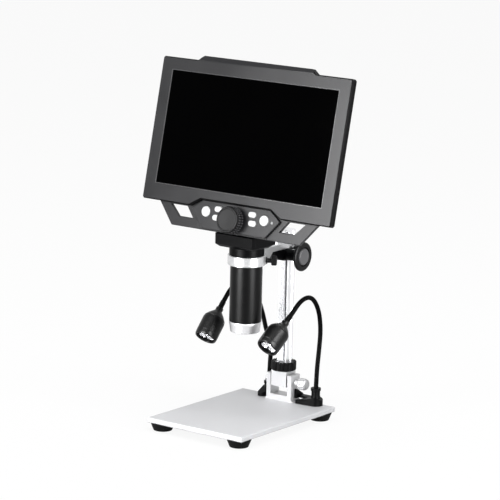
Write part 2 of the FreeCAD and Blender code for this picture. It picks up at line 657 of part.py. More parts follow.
def make_carriage():
    half = CARRIAGE_WIDTH / 2
    front = PINION_Y - BARREL_RADIUS
    sleeve = box(-half, half, front, CARRIAGE_BACK, CARRIAGE_BOTTOM, CARRIAGE_TOP)
    back_edges = edges_where(sleeve, lambda p: near(p.y, CARRIAGE_BACK))
    sleeve = sleeve.makeChamfer(1.5, back_edges)
    height = CARRIAGE_TOP - CARRIAGE_BOTTOM
    nose = [(front + 1, CARRIAGE_BOTTOM), (front + 1, CARRIAGE_TOP), (NOSE_FRONT, CARRIAGE_TOP)]
    nose += [(NOSE_FRONT + 1.0, CARRIAGE_TOP - height * 0.3)]
    nose += [(NOSE_FRONT + 7.5, CARRIAGE_BOTTOM + height * 0.17)]
    barrel_start = vec(-BARREL_HALF_LENGTH, PINION_Y, FOCUS_Z)
    barrel_end = vec(BARREL_HALF_LENGTH, PINION_Y, FOCUS_Z)
    barrel = rod(BARREL_RADIUS, barrel_start, barrel_end)
    body = joined(sleeve, side_prism(nose, CARRIAGE_WIDTH), barrel)
    low = CARRIAGE_BOTTOM - 1
    high = CARRIAGE_TOP + 1
    rail_half = RAIL_WIDTH / 2 + SLIDE_GAP
    rack_half = RACK_WIDTH / 2 + SLIDE_GAP + 0.1
    rail_way = box(-rail_half, rail_half, RAIL_FRONT - SLIDE_GAP, RAIL_BACK + SLIDE_GAP, low, high)
    rack_way = box(-rack_half, rack_half, RACK_FRONT - FIT_GAP, RAIL_FRONT, low, high)
    cavity_radius = PINION_RADIUS + PINION_ADDENDUM + SLIDE_GAP
    cavity_half = PINION_WIDTH / 2 + SLIDE_GAP
    cavity_start = vec(-cavity_half, PINION_Y, FOCUS_Z)
    cavity = rod(cavity_radius, cavity_start, vec(cavity_half, PINION_Y, FOCUS_Z))
    bore = rod(SHAFT_RADIUS + SHAFT_CLEARANCE, barrel_start, barrel_end)
    pad_front = RAIL_BACK + SLIDE_GAP / 2
    pad_half = PAD_WIDTH / 2
    pad_half_height = BARREL_RADIUS * 0.7
    pad = box(-pad_half, pad_half, pad_front, pad_front + PAD_THICK,
              FOCUS_Z - pad_half_height, FOCUS_Z + pad_half_height)
    body = body.cut(rail_way).cut(rack_way).cut(cavity).cut(bore).cut(pad)
    screws = []
    bite = CARRIAGE_TOP - BARREL_RADIUS
    for y in ARM_SCREW_SPOTS:
        head = rod(SCREW_HEAD_RADIUS, vec(0, y, ARM_TOP), vec(0, y, ARM_TOP + SCREW_HEAD_HEIGHT))
        head = head.fuse(rod(SCREW_RADIUS, vec(0, y, bite), vec(0, y, ARM_TOP))).removeSplitter()
        drive_start = vec(0, y, ARM_TOP + SCREW_HEAD_HEIGHT * 0.4)
        drive = rod(SCREW_RADIUS * 0.7, drive_start, vec(0, y, ARM_TOP + SCREW_HEAD_HEIGHT + 1))
        screws.append(head.cut(drive))
        body = body.cut(rod(SCREW_RADIUS, vec(0, y, bite), vec(0, y, CARRIAGE_TOP + 1)))
    keep("carriage_body", body)
    keep("guide_pad", pad)
    keep("arm_screws", Part.makeCompound(screws))

    ring_axis = vec(0, TUBE_Y, RING_BOTTOM)
    ring = rod(RING_RADIUS, ring_axis, vec(0, TUBE_Y, RING_TOP))
    ring_edges = [edge for edge in ring.Edges if edge.Closed]
    ring = ring.makeChamfer(0.5, ring_edges)
    arm_start = TUBE_Y + RING_BORE * 0.8
    arm_end = RACK_FRONT - FIT_GAP - 0.5
    arm = [(arm_start, RING_BOTTOM), (RING_RADIUS + TUBE_Y + 4.4, RING_BOTTOM)]
    arm += [(NOSE_FRONT - 3.0, CARRIAGE_TOP), (arm_end, CARRIAGE_TOP), (arm_end, ARM_TOP)]
    arm += [(arm_start, ARM_TOP)]
    bar = side_prism(arm, ARM_WIDTH)
    bar = bar.makeChamfer(0.8, edges_where(bar, lambda p: near(p.z, ARM_TOP)))
    arm_shape = joined(ring, bar)
    bore = rod(RING_BORE, vec(0, TUBE_Y, RING_BOTTOM - 1), vec(0, TUBE_Y, RING_TOP + 1))
    above = rod(COLLAR_RADIUS + FIT_GAP, vec(0, TUBE_Y, RING_TOP), vec(0, TUBE_Y, ARM_TOP + 1))
    arm_shape = arm_shape.cut(bore).cut(above)
    for y in ARM_SCREW_SPOTS:
        hole = rod(SCREW_RADIUS, vec(0, y, CARRIAGE_TOP - 1), vec(0, y, ARM_TOP + 1))
        arm_shape = arm_shape.cut(hole)
    outward = vec(math.cos(CLAMP_ANGLE), math.sin(CLAMP_ANGLE), 0)
    centre = vec(0, TUBE_Y, CLAMP_Z)
    tip = centre + outward * (RING_BORE + 0.4)
    hole = rod(PIVOT_RADIUS * 0.8 + SHAFT_CLEARANCE, centre, centre + outward * (RING_RADIUS + 1))
    keep("ring_arm", arm_shape.cut(hole))

    wall = RING_RADIUS - RING_BORE - 0.4
    shank = PIVOT_RADIUS * 0.8
    flange = CLAMP_HEAD_RADIUS * 0.72
    profile = [(0, 0), (shank, 0), (shank, wall + FIT_GAP), (flange, wall + FIT_GAP)]
    neck_start = wall + FIT_GAP + 1.0
    head_start = neck_start + CLAMP_NECK
    head_end = head_start + 5.3
    profile += [(flange, neck_start), (shank * 1.15, neck_start), (shank * 1.15, head_start)]
    profile += [(CLAMP_HEAD_RADIUS - 0.4, head_start), (CLAMP_HEAD_RADIUS, head_start + 0.4)]
    profile += [(CLAMP_HEAD_RADIUS, head_end - 0.6), (CLAMP_HEAD_RADIUS - 0.6, head_end)]
    profile += [(0, head_end)]
    keep("ring_clamp_screw", turned(profile, tip, outward))


# Lens tube, its silver tip, the light ring, and the lens that slides inside

def make_tube():
    board_bottom = COLLAR_TOP - COLLAR_WALL - BOARD_THICK
    axis = vec(0, TUBE_Y, TUBE_BOTTOM)
    length = board_bottom + BOARD_THICK - TUBE_BOTTOM
    edge = 0.5
    profile = [(TUBE_BORE, 0), (TUBE_RADIUS - edge, 0), (TUBE_RADIUS, edge)]
    profile += [(TUBE_RADIUS, length), (TUBE_BORE, length)]
    keep("lens_tube", turned(profile, axis, UP))
    board_axis = vec(0, TUBE_Y, board_bottom)
    board = rod(TUBE_BORE, board_axis, vec(0, TUBE_Y, board_bottom + BOARD_THICK))
    chip = box(-5, 5, TUBE_Y - 5, TUBE_Y + 5, board_bottom - 1.5, board_bottom)
    keep("sensor_board", joined(board, chip))

    tip_axis = vec(0, TUBE_Y, TIP_BOTTOM)
    lip = TIP_BORE - 1.2
    step = LED_BOARD_Z - TIP_BOTTOM
    profile = [(lip, 0), (TIP_END_RADIUS - 0.4, 0), (TIP_END_RADIUS, 0.4)]
    profile += [(TUBE_RADIUS, TIP_LENGTH - 1.0), (TUBE_RADIUS, TIP_LENGTH)]
    profile += [(TIP_BORE, TIP_LENGTH), (TIP_BORE, step), (lip, step)]
    keep("lens_tip", turned(profile, tip_axis, UP))
    ring_inner = TUBE_BORE * 0.52
    board_top = LED_BOARD_Z + BOARD_THICK
    ring = rod(TIP_BORE, vec(0, TUBE_Y, LED_BOARD_Z), vec(0, TUBE_Y, board_top))
    ring = ring.cut(rod(ring_inner, vec(0, TUBE_Y, LED_BOARD_Z - 1), vec(0, TUBE_Y, board_top + 1)))
    led_orbit = (ring_inner + lip) / 2
    for step in range(LED_COUNT):
        angle = 2 * math.pi * (step + 0.5) / LED_COUNT
        x = led_orbit * math.cos(angle)
        y = TUBE_Y + led_orbit * math.sin(angle)
        ring = ring.fuse(rod(1.2, vec(x, y, LED_BOARD_Z - 1.2), vec(x, y, LED_BOARD_Z)))
    keep("led_ring", ring.removeSplitter())

    barrel_outer = ring_inner - 0.5
    barrel_inner = barrel_outer - 1.0
    barrel = board_top + LENS_TRAVEL - 0.6
    guide_low = 2 * LENS_TRAVEL
    guide_high = 3 * LENS_TRAVEL
    lens_seat = 3.0
    profile = [(barrel_inner, 0), (barrel_outer, 0), (barrel_outer, guide_low)]
    profile += [(TUBE_BORE - TUBE_CLEARANCE, guide_low), (TUBE_BORE - TUBE_CLEARANCE, guide_high)]
    profile += [(barrel_inner, guide_high)]
    keep("lens_carrier", turned(profile, vec(0, TUBE_Y, barrel), UP))
    profile = [(0, 0), (barrel_inner * 0.6, 0.3), (barrel_inner, 1.0), (barrel_inner, lens_seat)]
    profile += [(0, lens_seat)]
    keep("objective_lens", turned(profile, vec(0, TUBE_Y, barrel + 0.6), UP))


# Neck: a round collar with a flange, and the block that meets the back of the display

def make_neck():
    half = NECK_WIDTH / 2
    start = vec(0, TUBE_Y, COLLAR_BOTTOM)
    collar = rod(COLLAR_RADIUS, start, vec(0, TUBE_Y, COLLAR_TOP))
    pocket_top = COLLAR_TOP - COLLAR_WALL
    collar = collar.cut(rod(TUBE_RADIUS, start, vec(0, TUBE_Y, pocket_top)))
    wires = []
    for inset, z in ((FLANGE_INSET, COLLAR_TOP), (0.8, NECK_BOTTOM)):
        left = -half + inset
        ahead = TUBE_Y - NECK_AHEAD + inset
        behind = TUBE_Y + NECK_BEHIND - inset
        corners = [vec(left, ahead, z), vec(-left, ahead, z), vec(-left, behind, z)]
        corners.append(vec(left, behind, z))
        wires.append(Part.makePolygon(corners + corners[:1]))
    flange = Part.makeLoft(wires, True, True)
    keep("neck_collar", joined(collar, flange))

    front = TUBE_Y - NECK_AHEAD
    back = TUBE_Y + NECK_BEHIND
    wing_base_front = display_point(WING_DEPTH, -WING_DROP)
    wing_base_back = display_point(WING_BACK, -WING_DROP)
    ledge = min(wing_base_back[1], wing_base_front[1]) - FIT_GAP / 2
    seat_front = display_point(WING_BACK, BULGE_BASE)
    seat_back = display_point(BULGE_DEPTH, BULGE_BASE)
    shoulder = NECK_BOTTOM + 18.0
    outline = [(front, NECK_BOTTOM), (back, NECK_BOTTOM), (back, shoulder), seat_back, seat_front]
    outline += [wing_base_back, (wing_base_back[0], ledge), (front, ledge)]
    block = side_prism(outline, NECK_WIDTH)
    corners = edges_where(block, lambda p: near(p.y, front))
    upright = [edge for edge in corners if near(edge.Length, ledge - NECK_BOTTOM)]
    block = block.makeChamfer(2.5, upright)
    shaft_hole = slab_rod(WHEEL_SHAFT_RADIUS + FIT_GAP, 0, WHEEL_UP, WING_DEPTH, shaft_depth() + 0.5)
    keep("neck_block", block.cut(leant(shaft_hole)))


# A round bar square to the display, at one place across and up, between two depths
def slab_rod(radius, across, up, start, end):
    return rod(radius, vec(across, start, up), vec(across, end, up))


def shaft_depth():
    return WING_BACK + 5.0


# Display housing

def housing_outline():
    side = HOUSING_WIDTH / 2
    corner = HOUSING_CORNER
    points = [(-side, corner), (-side + corner, 0), (-NOTCH_BASE_WIDTH / 2, 0)]
    points += [(-NOTCH_TOP_WIDTH / 2, NOTCH_RISE), (NOTCH_TOP_WIDTH / 2, NOTCH_RISE)]
    points += [(NOTCH_BASE_WIDTH / 2, 0), (side - corner, 0), (side, corner)]
    points += [(side, HOUSING_HEIGHT - corner), (side - corner, HOUSING_HEIGHT)]
    hump_top = HOUSING_HEIGHT + HUMP_RISE
    points += [(HUMP_BASE_WIDTH / 2, HOUSING_HEIGHT), (HUMP_TOP_WIDTH / 2, hump_top)]
    points += [(-HUMP_TOP_WIDTH / 2, hump_top), (-HUMP_BASE_WIDTH / 2, HOUSING_HEIGHT)]
    points += [(-side + corner, HOUSING_HEIGHT), (-side, HOUSING_HEIGHT - corner)]
    return points


# What the long bevel on the front of the hump takes away
def hump_wedge():
    hump_top = HOUSING_HEIGHT + HUMP_RISE
    reach = HUMP_BASE_WIDTH / 2 + 1
    low = vec(-reach, 0, hump_top - HUMP_BEVEL)
    slope = vec(0, HUMP_BEVEL_DEPTH, HUMP_BEVEL)
    corner = vec(-reach, -HUMP_BEVEL_DEPTH, hump_top + HUMP_BEVEL)
    return prism([low - slope * 0.5, low + slope * 1.5, corner], vec(2 * reach, 0, 0))


def rectangle(left, right, bottom, top):
    return [(left, bottom), (right, bottom), (right, top), (left, top)]


COVER_SCREW_SIDE = HOUSING_WIDTH / 2 - 3.9
COVER_SCREW_SPOTS = [
    (side * COVER_SCREW_SIDE, up)
    for side in (-1, 1)
    for up in (7.0, HOUSING_HEIGHT / 2, HOUSING_HEIGHT - 7.0)
]
COVER_SCREW_RADIUS = 1.1
COVER_HEAD_RADIUS = 2.2


def make_housing():
    cavity_half = HOUSING_WIDTH / 2 - CAVITY_SIDE
    cavity = rectangle(-cavity_half, cavity_half, CAVITY_BASE, CAVITY_TOP)
    window_half = SCREEN_WIDTH / 2
    window = rectangle(-window_half, window_half, SCREEN_BASE, SCREEN_BASE + SCREEN_HEIGHT)

    bezel = slab(housing_outline(), 0, BEZEL_DEPTH)
    front_edges = edges_where(bezel, lambda p: near(p.y, 0))
    bezel = bezel.makeChamfer(1.1, front_edges)
    bezel = bezel.cut(hump_wedge())
    bezel = bezel.cut(slab(window, -1, BEZEL_DEPTH + 1)).cut(slab(cavity, SHELL_WALL, BEZEL_DEPTH + 1))
    for across, up in COVER_SCREW_SPOTS:
        bezel = bezel.cut(slab_rod(COVER_SCREW_RADIUS, across, up, 1.4, BEZEL_DEPTH + 1))
    keep("front_bezel", leant(bezel))

    glass_gap = 0.15
    glass = rectangle(-window_half + glass_gap, window_half - glass_gap,
                      SCREEN_BASE + glass_gap, SCREEN_BASE + SCREEN_HEIGHT - glass_gap)
    keep("display_glass", leant(slab(glass, GLASS_RECESS, GLASS_BACK)))
    lcd_margin = 2.6
    lcd = rectangle(-window_half - lcd_margin, window_half + lcd_margin,
                    SCREEN_BASE - lcd_margin, SCREEN_BASE + SCREEN_HEIGHT + lcd_margin)
    keep("lcd_module", leant(slab(lcd, GLASS_BACK, LCD_BACK)))

    outline = [vec(across, 0, up) for across, up in housing_outline()]
    face = Part.Face(Part.makePolygon(outline + outline[:1]))
    rim = slab(housing_outline(), BEZEL_DEPTH + GROOVE, RIM_DEPTH)
    rim = rim.makeChamfer(1.1, edges_where(rim, lambda p: near(p.y, RIM_DEPTH)))
    neck = grown(face, -GROOVE, BEZEL_DEPTH, BEZEL_DEPTH + GROOVE)
    bulge_half = BULGE_WIDTH / 2
    bulge_top = BULGE_BASE + BULGE_HEIGHT
    base = (-bulge_half, bulge_half, BULGE_BASE, bulge_top)
    top = (-bulge_half + BULGE_TAPER, bulge_half - BULGE_TAPER, BULGE_BASE, bulge_top - BULGE_TAPER)
    bulge = frustum(base, RIM_DEPTH - SHELL_WALL, top, BULGE_DEPTH)
    cover = joined(rim, neck, bulge)
    cover = cover.cut(slab(cavity, 0, RIM_DEPTH - SHELL_WALL))
    wall = SHELL_WALL
    inner_base = (base[0] + wall, base[1] - wall, max(base[2], CAVITY_BASE) + wall, base[3] - wall)
    inner_top = (top[0] + wall, top[1] - wall, inner_base[2], top[3] - wall)
    inner_back = BULGE_DEPTH - wall
    cover = cover.cut(frustum(inner_base, RIM_DEPTH - wall - 0.01, inner_top, inner_back))

    board_front = BULGE_DEPTH - BOARD_SPACE
    board_back = board_front + BOARD_THICK
    board_left = BOARD_LEFT
    board_right = inner_top[1] - BOARD_SIDE_MARGIN
    board_low = inner_top[2] + BOARD_LOW_MARGIN
    board_high = inner_top[3] - BOARD_HIGH_MARGIN
    board = slab(rectangle(board_left, board_right, board_low, board_high), board_front, board_back)
    chips = ((14.0, 12.0, 16.0, 16.0), (40.0, 14.0, 12.0, 12.0), (20.0, 40.0, 22.0, 14.0))
    for chip_across, chip_up, chip_width, chip_height in chips:
        left = board_left + chip_across
        low = board_low + chip_up
        chip = rectangle(left, left + chip_width, low, low + chip_height)
        board = board.fuse(slab(chip, board_front - 1.5, board_front))
    boss_inset = 5.0
    for across in (board_left + boss_inset, board_right - boss_inset):
        for up in (board_low + boss_inset, board_high - boss_inset):
            cover = cover.fuse(slab_rod(2.6, across, up, board_back, inner_back))
    keep("main_board", leant(board.removeSplitter()))
    battery_right = board_left - BATTERY_GAP
    battery_left = inner_top[0] + BOARD_SIDE_MARGIN
    battery_front = inner_back - BATTERY_THICK
    battery = slab(rectangle(battery_left, battery_right, board_low, board_high), battery_front, inner_back)
    battery = battery.makeFillet(1.5, edges_where(battery, lambda p: near(p.y, battery_front)))
    keep("battery", leant(battery))

    screws = []
    for across, up in COVER_SCREW_SPOTS:
        recess = slab_rod(COVER_HEAD_RADIUS + FIT_GAP / 2, across, up, RIM_DEPTH - 1.6, RIM_DEPTH + 1)
        hole = slab_rod(COVER_SCREW_RADIUS, across, up, 0, RIM_DEPTH)
        cover = cover.cut(recess).cut(hole)
        head = slab_rod(COVER_HEAD_RADIUS, across, up, RIM_DEPTH - 1.6, RIM_DEPTH - 0.3)
        shank = slab_rod(COVER_SCREW_RADIUS, across, up, 1.6, RIM_DEPTH - 1.6)
        screws.append(head.fuse(shank).removeSplitter())
    keep("back_cover", leant(cover.removeSplitter()))
    keep("cover_screws", leant(Part.makeCompound(screws)))


# Wing frame with its two windows, and the six-sided control panel in front of it

def panel_outline():
    shoulder = NOTCH_TOP_WIDTH / 2 - 2.0
    tip = shoulder + 12.5
    top = NOTCH_RISE - 0.5
    bottom = -WING_DROP + 1.5
    return [(-shoulder, top), (-tip, top - 9.5), (-shoulder + 2, bottom), (shoulder - 2, bottom),
            (tip, top - 9.5), (shoulder, top)]


def make_wing_and_panel():
    top = WING_TOP_WIDTH / 2
    base = WING_BASE_WIDTH / 2
    outline = [(-top, 0), (-base, -WING_DROP), (base, -WING_DROP), (top, 0)]
    outline += [(NOTCH_BASE_WIDTH / 2, 0), (NOTCH_TOP_WIDTH / 2, NOTCH_RISE)]
    outline += [(-NOTCH_TOP_WIDTH / 2, NOTCH_RISE), (-NOTCH_BASE_WIDTH / 2, 0)]
    wing = slab(outline, WING_DEPTH, WING_BACK)
    for side in (-1, 1):
        sill = WINDOW_SILL - WING_DROP
        window = [(side * (top - WINDOW_OUTER_TOP), -WINDOW_TOP)]
        window += [(side * (top - WINDOW_INNER_TOP), -WINDOW_TOP)]
        window += [(side * (base - WINDOW_INNER_BASE), sill), (side * (base - WINDOW_OUTER_BASE), sill)]
        wing = wing.cut(slab(window, WING_DEPTH - 1, WING_BACK + 1))
    front_edges = edges_where(wing, lambda p: near(p.y, WING_DEPTH) and p.z < -WINDOW_TOP - 0.1)
    wing = wing.makeChamfer(0.6, front_edges)

    face_points = [vec(across, 0, up) for across, up in panel_outline()]
    face = Part.Face(Part.makePolygon(face_points + face_points[:1]))
    panel = slab(panel_outline(), PANEL_DEPTH, WING_DEPTH)
    panel = panel.makeChamfer(0.5, edges_where(panel, lambda p: near(p.y, PANEL_DEPTH)))
    wall_back = PANEL_DEPTH + PANEL_WALL
    panel = panel.cut(grown(face, -PANEL_WALL, wall_back, WING_DEPTH + 1))
    panel = panel.fuse(slab_rod(WHEEL_SHAFT_RADIUS + 2.2, 0, WHEEL_UP, wall_back, WING_DEPTH))
    board_back = WING_DEPTH + 1.5
    pocket = grown(face, -2.5, WING_DEPTH, board_back)
    board = grown(face, -2.5 - FIT_GAP, WING_DEPTH + 0.4, board_back)
    flange_front = wall_back + 0.1
    flange_back = flange_front + 0.7
    switch_front = flange_back + BUTTON_TRAVEL + 0.1
    for name, across, up, length, width in BUTTONS:
        front = PANEL_DEPTH - BUTTON_PROUD
        button = pill(across, up, length, width, front, flange_back)
        button = button.makeFillet(0.4, edges_where(button, lambda p: near(p.y, front)))
        flange = pill(across, up, length + 1.4, width + 1.4, flange_front, flange_back)
        keep(name, leant(button.fuse(flange).removeSplitter()))
        opening_length = length + 2 * BUTTON_GAP
        opening_width = width + 2 * BUTTON_GAP
        opening = pill(across, up, opening_length, opening_width, 0, wall_back + 0.01)
        panel = panel.cut(opening)
        board = board.fuse(slab_rod(1.5, across, up, switch_front, WING_DEPTH + 0.4))
    light_across = NOTCH_TOP_WIDTH / 2 + 2.0
    light_up = -4.5
    light = slab_rod(1.3, light_across, light_up, PANEL_DEPTH - 0.3, wall_back)
    keep("indicator_light", leant(light))
    panel = panel.cut(slab_rod(1.3, light_across, light_up, 0, wall_back + 0.01))
    shaft = shaft_depth()
    tight = slab_rod(WHEEL_SHAFT_RADIUS + PIVOT_CLEARANCE, 0, WHEEL_UP, 0, WING_DEPTH + 1)
    loose = slab_rod(WHEEL_SHAFT_RADIUS + FIT_GAP, 0, WHEEL_UP, WING_DEPTH - 1, shaft)
    keep("control_panel", leant(panel.cut(tight).removeSplitter()))
    keep("wing_frame", leant(wing.cut(pocket).cut(loose)))
    keep("button_board", leant(board.cut(loose).removeSplitter()))

    turn_start = vec(0, shaft, WHEEL_UP)
    hub = shaft - (PANEL_DEPTH - FIT_GAP)
    rim = shaft
    face_depth = shaft + WHEEL_RIM
    front = face_depth + WHEEL_FACE_RISE
    profile = [(0, 0), (WHEEL_SHAFT_RADIUS, 0), (WHEEL_SHAFT_RADIUS, hub), (9.0, hub), (9.0, rim)]
    profile += [(WHEEL_RADIUS - 0.6, rim), (WHEEL_RADIUS, rim + 0.6)]
    profile += [(WHEEL_RADIUS, face_depth - 0.6), (WHEEL_RADIUS - 0.6, face_depth)]
    profile += [(WHEEL_FACE_RADIUS, face_depth), (WHEEL_FACE_RADIUS, front - 0.5)]
    profile += [(WHEEL_FACE_RADIUS - 0.5, front), (WHEEL_FACE_RADIUS - 1.6, front)]
    profile += [(WHEEL_FACE_RADIUS - 1.9, front - 0.4), (0, front - 0.4)]
    wheel = turned(profile, turn_start, vec(0, -1, 0))
    grip = 0.55
    for step in range(WHEEL_GRIPS):
        angle = 2 * math.pi * step / WHEEL_GRIPS
        across = (WHEEL_RADIUS + grip * 0.3) * math.cos(angle)
        up = WHEEL_UP + (WHEEL_RADIUS + grip * 0.3) * math.sin(angle)
        wheel = wheel.cut(slab_rod(grip, across, up, -WHEEL_RIM - 0.5, 0.5))
    keep("focus_wheel", leant(wheel))


# Each button: its node, its place across and up, its length and its width
BUTTONS = []
for side_name, side in (("left", -1), ("right", 1)):
    BUTTONS.append((f"button_{side_name}_round", side * 34.7, -3.5, 2 * BUTTON_RADIUS, 2 * BUTTON_RADIUS))
    BUTTONS.append((f"button_{side_name}_upper", side * 20.2, 0.4, OVAL_LENGTH, OVAL_WIDTH))
    BUTTONS.append((f"button_{side_name}_lower", side * 21.5, -8.0, OVAL_LENGTH, OVAL_WIDTH))


def pill(across, up, length, width, near_depth, far_depth):
    radius = width / 2
    reach = (length - width) / 2
    if reach < 0.01:
        return slab_rod(radius, across, up, near_depth, far_depth)
    left = vec(across - reach, near_depth, up)
    right = vec(across + reach, near_depth, up)
    rise = vec(0, 0, radius)
    edges = [Part.LineSegment(left + rise, right + rise).toShape()]
    edges.append(Part.Arc(right + rise, right + vec(radius, 0, 0), right - rise).toShape())
    edges.append(Part.LineSegment(right - rise, left - rise).toShape())
    edges.append(Part.Arc(left - rise, left - vec(radius, 0, 0), left + rise).toShape())
    return Part.Face(Part.Wire(edges)).extrude(vec(0, far_depth - near_depth, 0))


# Lamps: a moulded foot, a gooseneck and the lamp head. The gooseneck's middle line is a smooth
# curve that touches the middle of each run of its route

def gooseneck(route):
    line = Part.BSplineCurve()
    line.buildFromPoles(route, False, 2)
    path = Part.Wire([line.toShape()])
    first_run = (route[1] - route[0]).normalize()
    section = Part.Wire([Part.Circle(route[0], first_run, GOOSENECK_RADIUS).toShape()])
    return path.makePipeShell([section], True, False)


# A drop-shaped outline on the plate around the socket and the tongue's end
def foot_outline(socket, tongue, socket_radius, tongue_radius):
    along = tongue - socket
    spread = math.acos((socket_radius - tongue_radius) / along.Length)
    heading = math.atan2(along.y, along.x)

    def at(centre, radius, angle):
        return centre + vec(radius * math.cos(angle), radius * math.sin(angle), 0)

    wide_left = at(socket, socket_radius, heading + spread)
    wide_right = at(socket, socket_radius, heading - spread)
    narrow_left = at(tongue, tongue_radius, heading + spread)
    narrow_right = at(tongue, tongue_radius, heading - spread)
    edges = [Part.Arc(wide_left, at(socket, socket_radius, heading + math.pi), wide_right).toShape()]
    edges.append(Part.LineSegment(wide_right, narrow_right).toShape())
    edges.append(Part.Arc(narrow_right, at(tongue, tongue_radius, heading), narrow_left).toShape())
    edges.append(Part.LineSegment(narrow_left, wide_left).toShape())
    return Part.Face(Part.Wire(edges))


# The room that a lamp foot leaves for the bracket and its flared base
def bracket_room():
    front = BRACKET_FRONT - FIT_GAP
    back = BRACKET_BACK + FIT_GAP
    cheek = CHEEK_OUTER + FIT_GAP / 2
    flare = CHEEK_OUTER + FLARE + FIT_GAP
    upright = box(-cheek, cheek, front, back, PLATE_TOP - 1, CHEEK_TOP)
    skirt = box(-flare, flare, front, back, PLATE_TOP - 1, PLATE_TOP + FLARE + FIT_GAP)
    pivot = vec(0, COLUMN_Y, PIVOT_Z)
    nut_reach = CHEEK_OUTER + NUT_THICK + 1.0 + FIT_GAP
    nut_room = rod(NUT_ACROSS / math.sqrt(3) + FIT_GAP, pivot, pivot - vec(nut_reach, 0, 0))
    thumb_room = rod(THUMB_RADIUS + FIT_GAP, pivot, pivot + vec(THUMB_END + FIT_GAP, 0, 0))
    return upright.fuse([skirt, nut_room, thumb_room])


def make_lamp_foot(lamp):
    socket = lamp["socket"]
    tongue = lamp["tongue"]
    radius = LAMP_FOOT_RADIUS
    height = lamp["socket_height"]
    lump = vec(0, 0, LAMP_FOOT_HEIGHT + 0.4)
    foot = foot_outline(socket, tongue, radius, lamp["tongue_radius"]).extrude(lump)
    along = (tongue - socket).normalize()
    across = vec(-along.y, along.x, 0) * 20
    reach = (tongue - socket).Length + lamp["tongue_radius"] + 1
    back = socket - along * (radius + 1)
    tip = socket + along * reach
    side_view = [back - across, tip - across, tip - across + vec(0, 0, TONGUE_THICK)]
    side_view += [socket - across + vec(0, 0, LAMP_FOOT_HEIGHT)]
    side_view += [back - across + vec(0, 0, LAMP_FOOT_HEIGHT * 0.64)]
    foot = foot.common(prism(side_view, across * 2))
    flare = Part.makeCone(radius - 1.4, SOCKET_RADIUS, height * 0.6, socket, UP)
    stem = rod(SOCKET_RADIUS, socket, socket + vec(0, 0, height))
    collar_low = socket + vec(0, 0, height - 2.6)
    collar = rod(SOCKET_RADIUS + 0.7, collar_low, socket + vec(0, 0, height))
    side = lamp["side"]
    fin_inner = side * (CHEEK_OUTER + FIT_GAP)
    fin_outer = side * (CHEEK_OUTER + FLARE)
    fin_low = PLATE_TOP + FLARE + 1.6
    fin = [vec(fin_inner, BRACKET_FRONT + 6.0, fin_low), vec(fin_inner, BRACKET_BACK + 3.5, fin_low)]
    fin += [vec(fin_inner, BRACKET_BACK + 3.5, fin_low + 3.3)]
    fin += [vec(fin_inner, BRACKET_FRONT + 6.0, fin_low + FIN_RISE)]
    web = prism(fin, vec(fin_outer - fin_inner, 0, 0))
    bridge_x = sorted((fin_inner, socket.x - side * SOCKET_RADIUS * 0.5))
    bridge_low = BRACKET_BACK - 3.5
    bridge = box(bridge_x[0], bridge_x[1], bridge_low, BRACKET_BACK + 3.5, fin_low, fin_low + 2.4)
    foot = joined(foot, flare, stem, collar, web, bridge).cut(bracket_room())
    x, y = tongue_screw_spot(lamp)
    return foot.cut(rod(SCREW_RADIUS, vec(x, y, PLATE_TOP - 1), vec(x, y, PLATE_SCREW_TIP)))


def make_lamp_head(side_name, lamp):
    route = lamp["route"]
    neck = route[-1]
    facing = (route[-1] - route[-2]).normalize()
    length = LAMP_SLEEVE + LAMP_CONE + LAMP_BODY
    start = neck - facing * 2.0
    sleeve = GOOSENECK_RADIUS + 1.3
    cone = LAMP_SLEEVE
    shoulder = LAMP_SLEEVE + LAMP_CONE
    lens_back = length - 2.6
    board_front = lens_back - 4.0
    inner = LAMP_FACE_RADIUS - LAMP_WALL
    profile = [(0, 2.0), (GOOSENECK_RADIUS, 2.0), (GOOSENECK_RADIUS, 0), (sleeve, 0)]
    profile += [(sleeve, cone), (LAMP_RADIUS * 0.72, cone + LAMP_CONE * 0.55)]
    profile += [(LAMP_RADIUS * 0.97, shoulder), (LAMP_RADIUS, shoulder + 1.0)]
    profile += [(LAMP_FACE_RADIUS + 0.5, length - 1.2), (LAMP_FACE_RADIUS, length), (inner, length)]
    profile += [(inner, board_front - BOARD_THICK), (0, board_front - BOARD_THICK)]
    keep(f"lamp_housing_{side_name}", turned(profile, start, facing))
    board_start = start + facing * (board_front - BOARD_THICK)
    board = rod(inner, board_start, board_start + facing * BOARD_THICK)
    tilt = FreeCAD.Rotation(UP, facing)
    led_top = start + facing * (board_front + 1.2)
    for step in range(3):
        angle = 2 * math.pi * step / 3 + math.pi / 2
        out = tilt.multVec(vec(math.cos(angle), math.sin(angle), 0)) * (inner * 0.48)
        board = board.fuse(rod(1.8, start + facing * board_front + out, led_top + out))
    keep(f"lamp_led_board_{side_name}", board.removeSplitter())
    lens = [(0, lens_back), (inner, lens_back), (inner, lens_back + 1.4), (inner * 0.5, lens_back + 1.9)]
    lens += [(0, lens_back + 2.1)]
    pegs = [(inner, board_front), (inner, lens_back), (inner - 0.8, lens_back), (inner - 0.8, board_front)]
    lens_shape = turned(lens, start, facing).fuse(turned(pegs, start, facing)).removeSplitter()
    keep(f"lamp_lens_{side_name}", lens_shape)


def make_lamps():
    for side_name, lamp in LAMP_SIDES.items():
        tube = gooseneck(lamp["route"])
        keep(f"lamp_foot_{side_name}", make_lamp_foot(lamp).cut(tube))
        keep(f"gooseneck_{side_name}", tube)
        make_lamp_head(side_name, lamp)


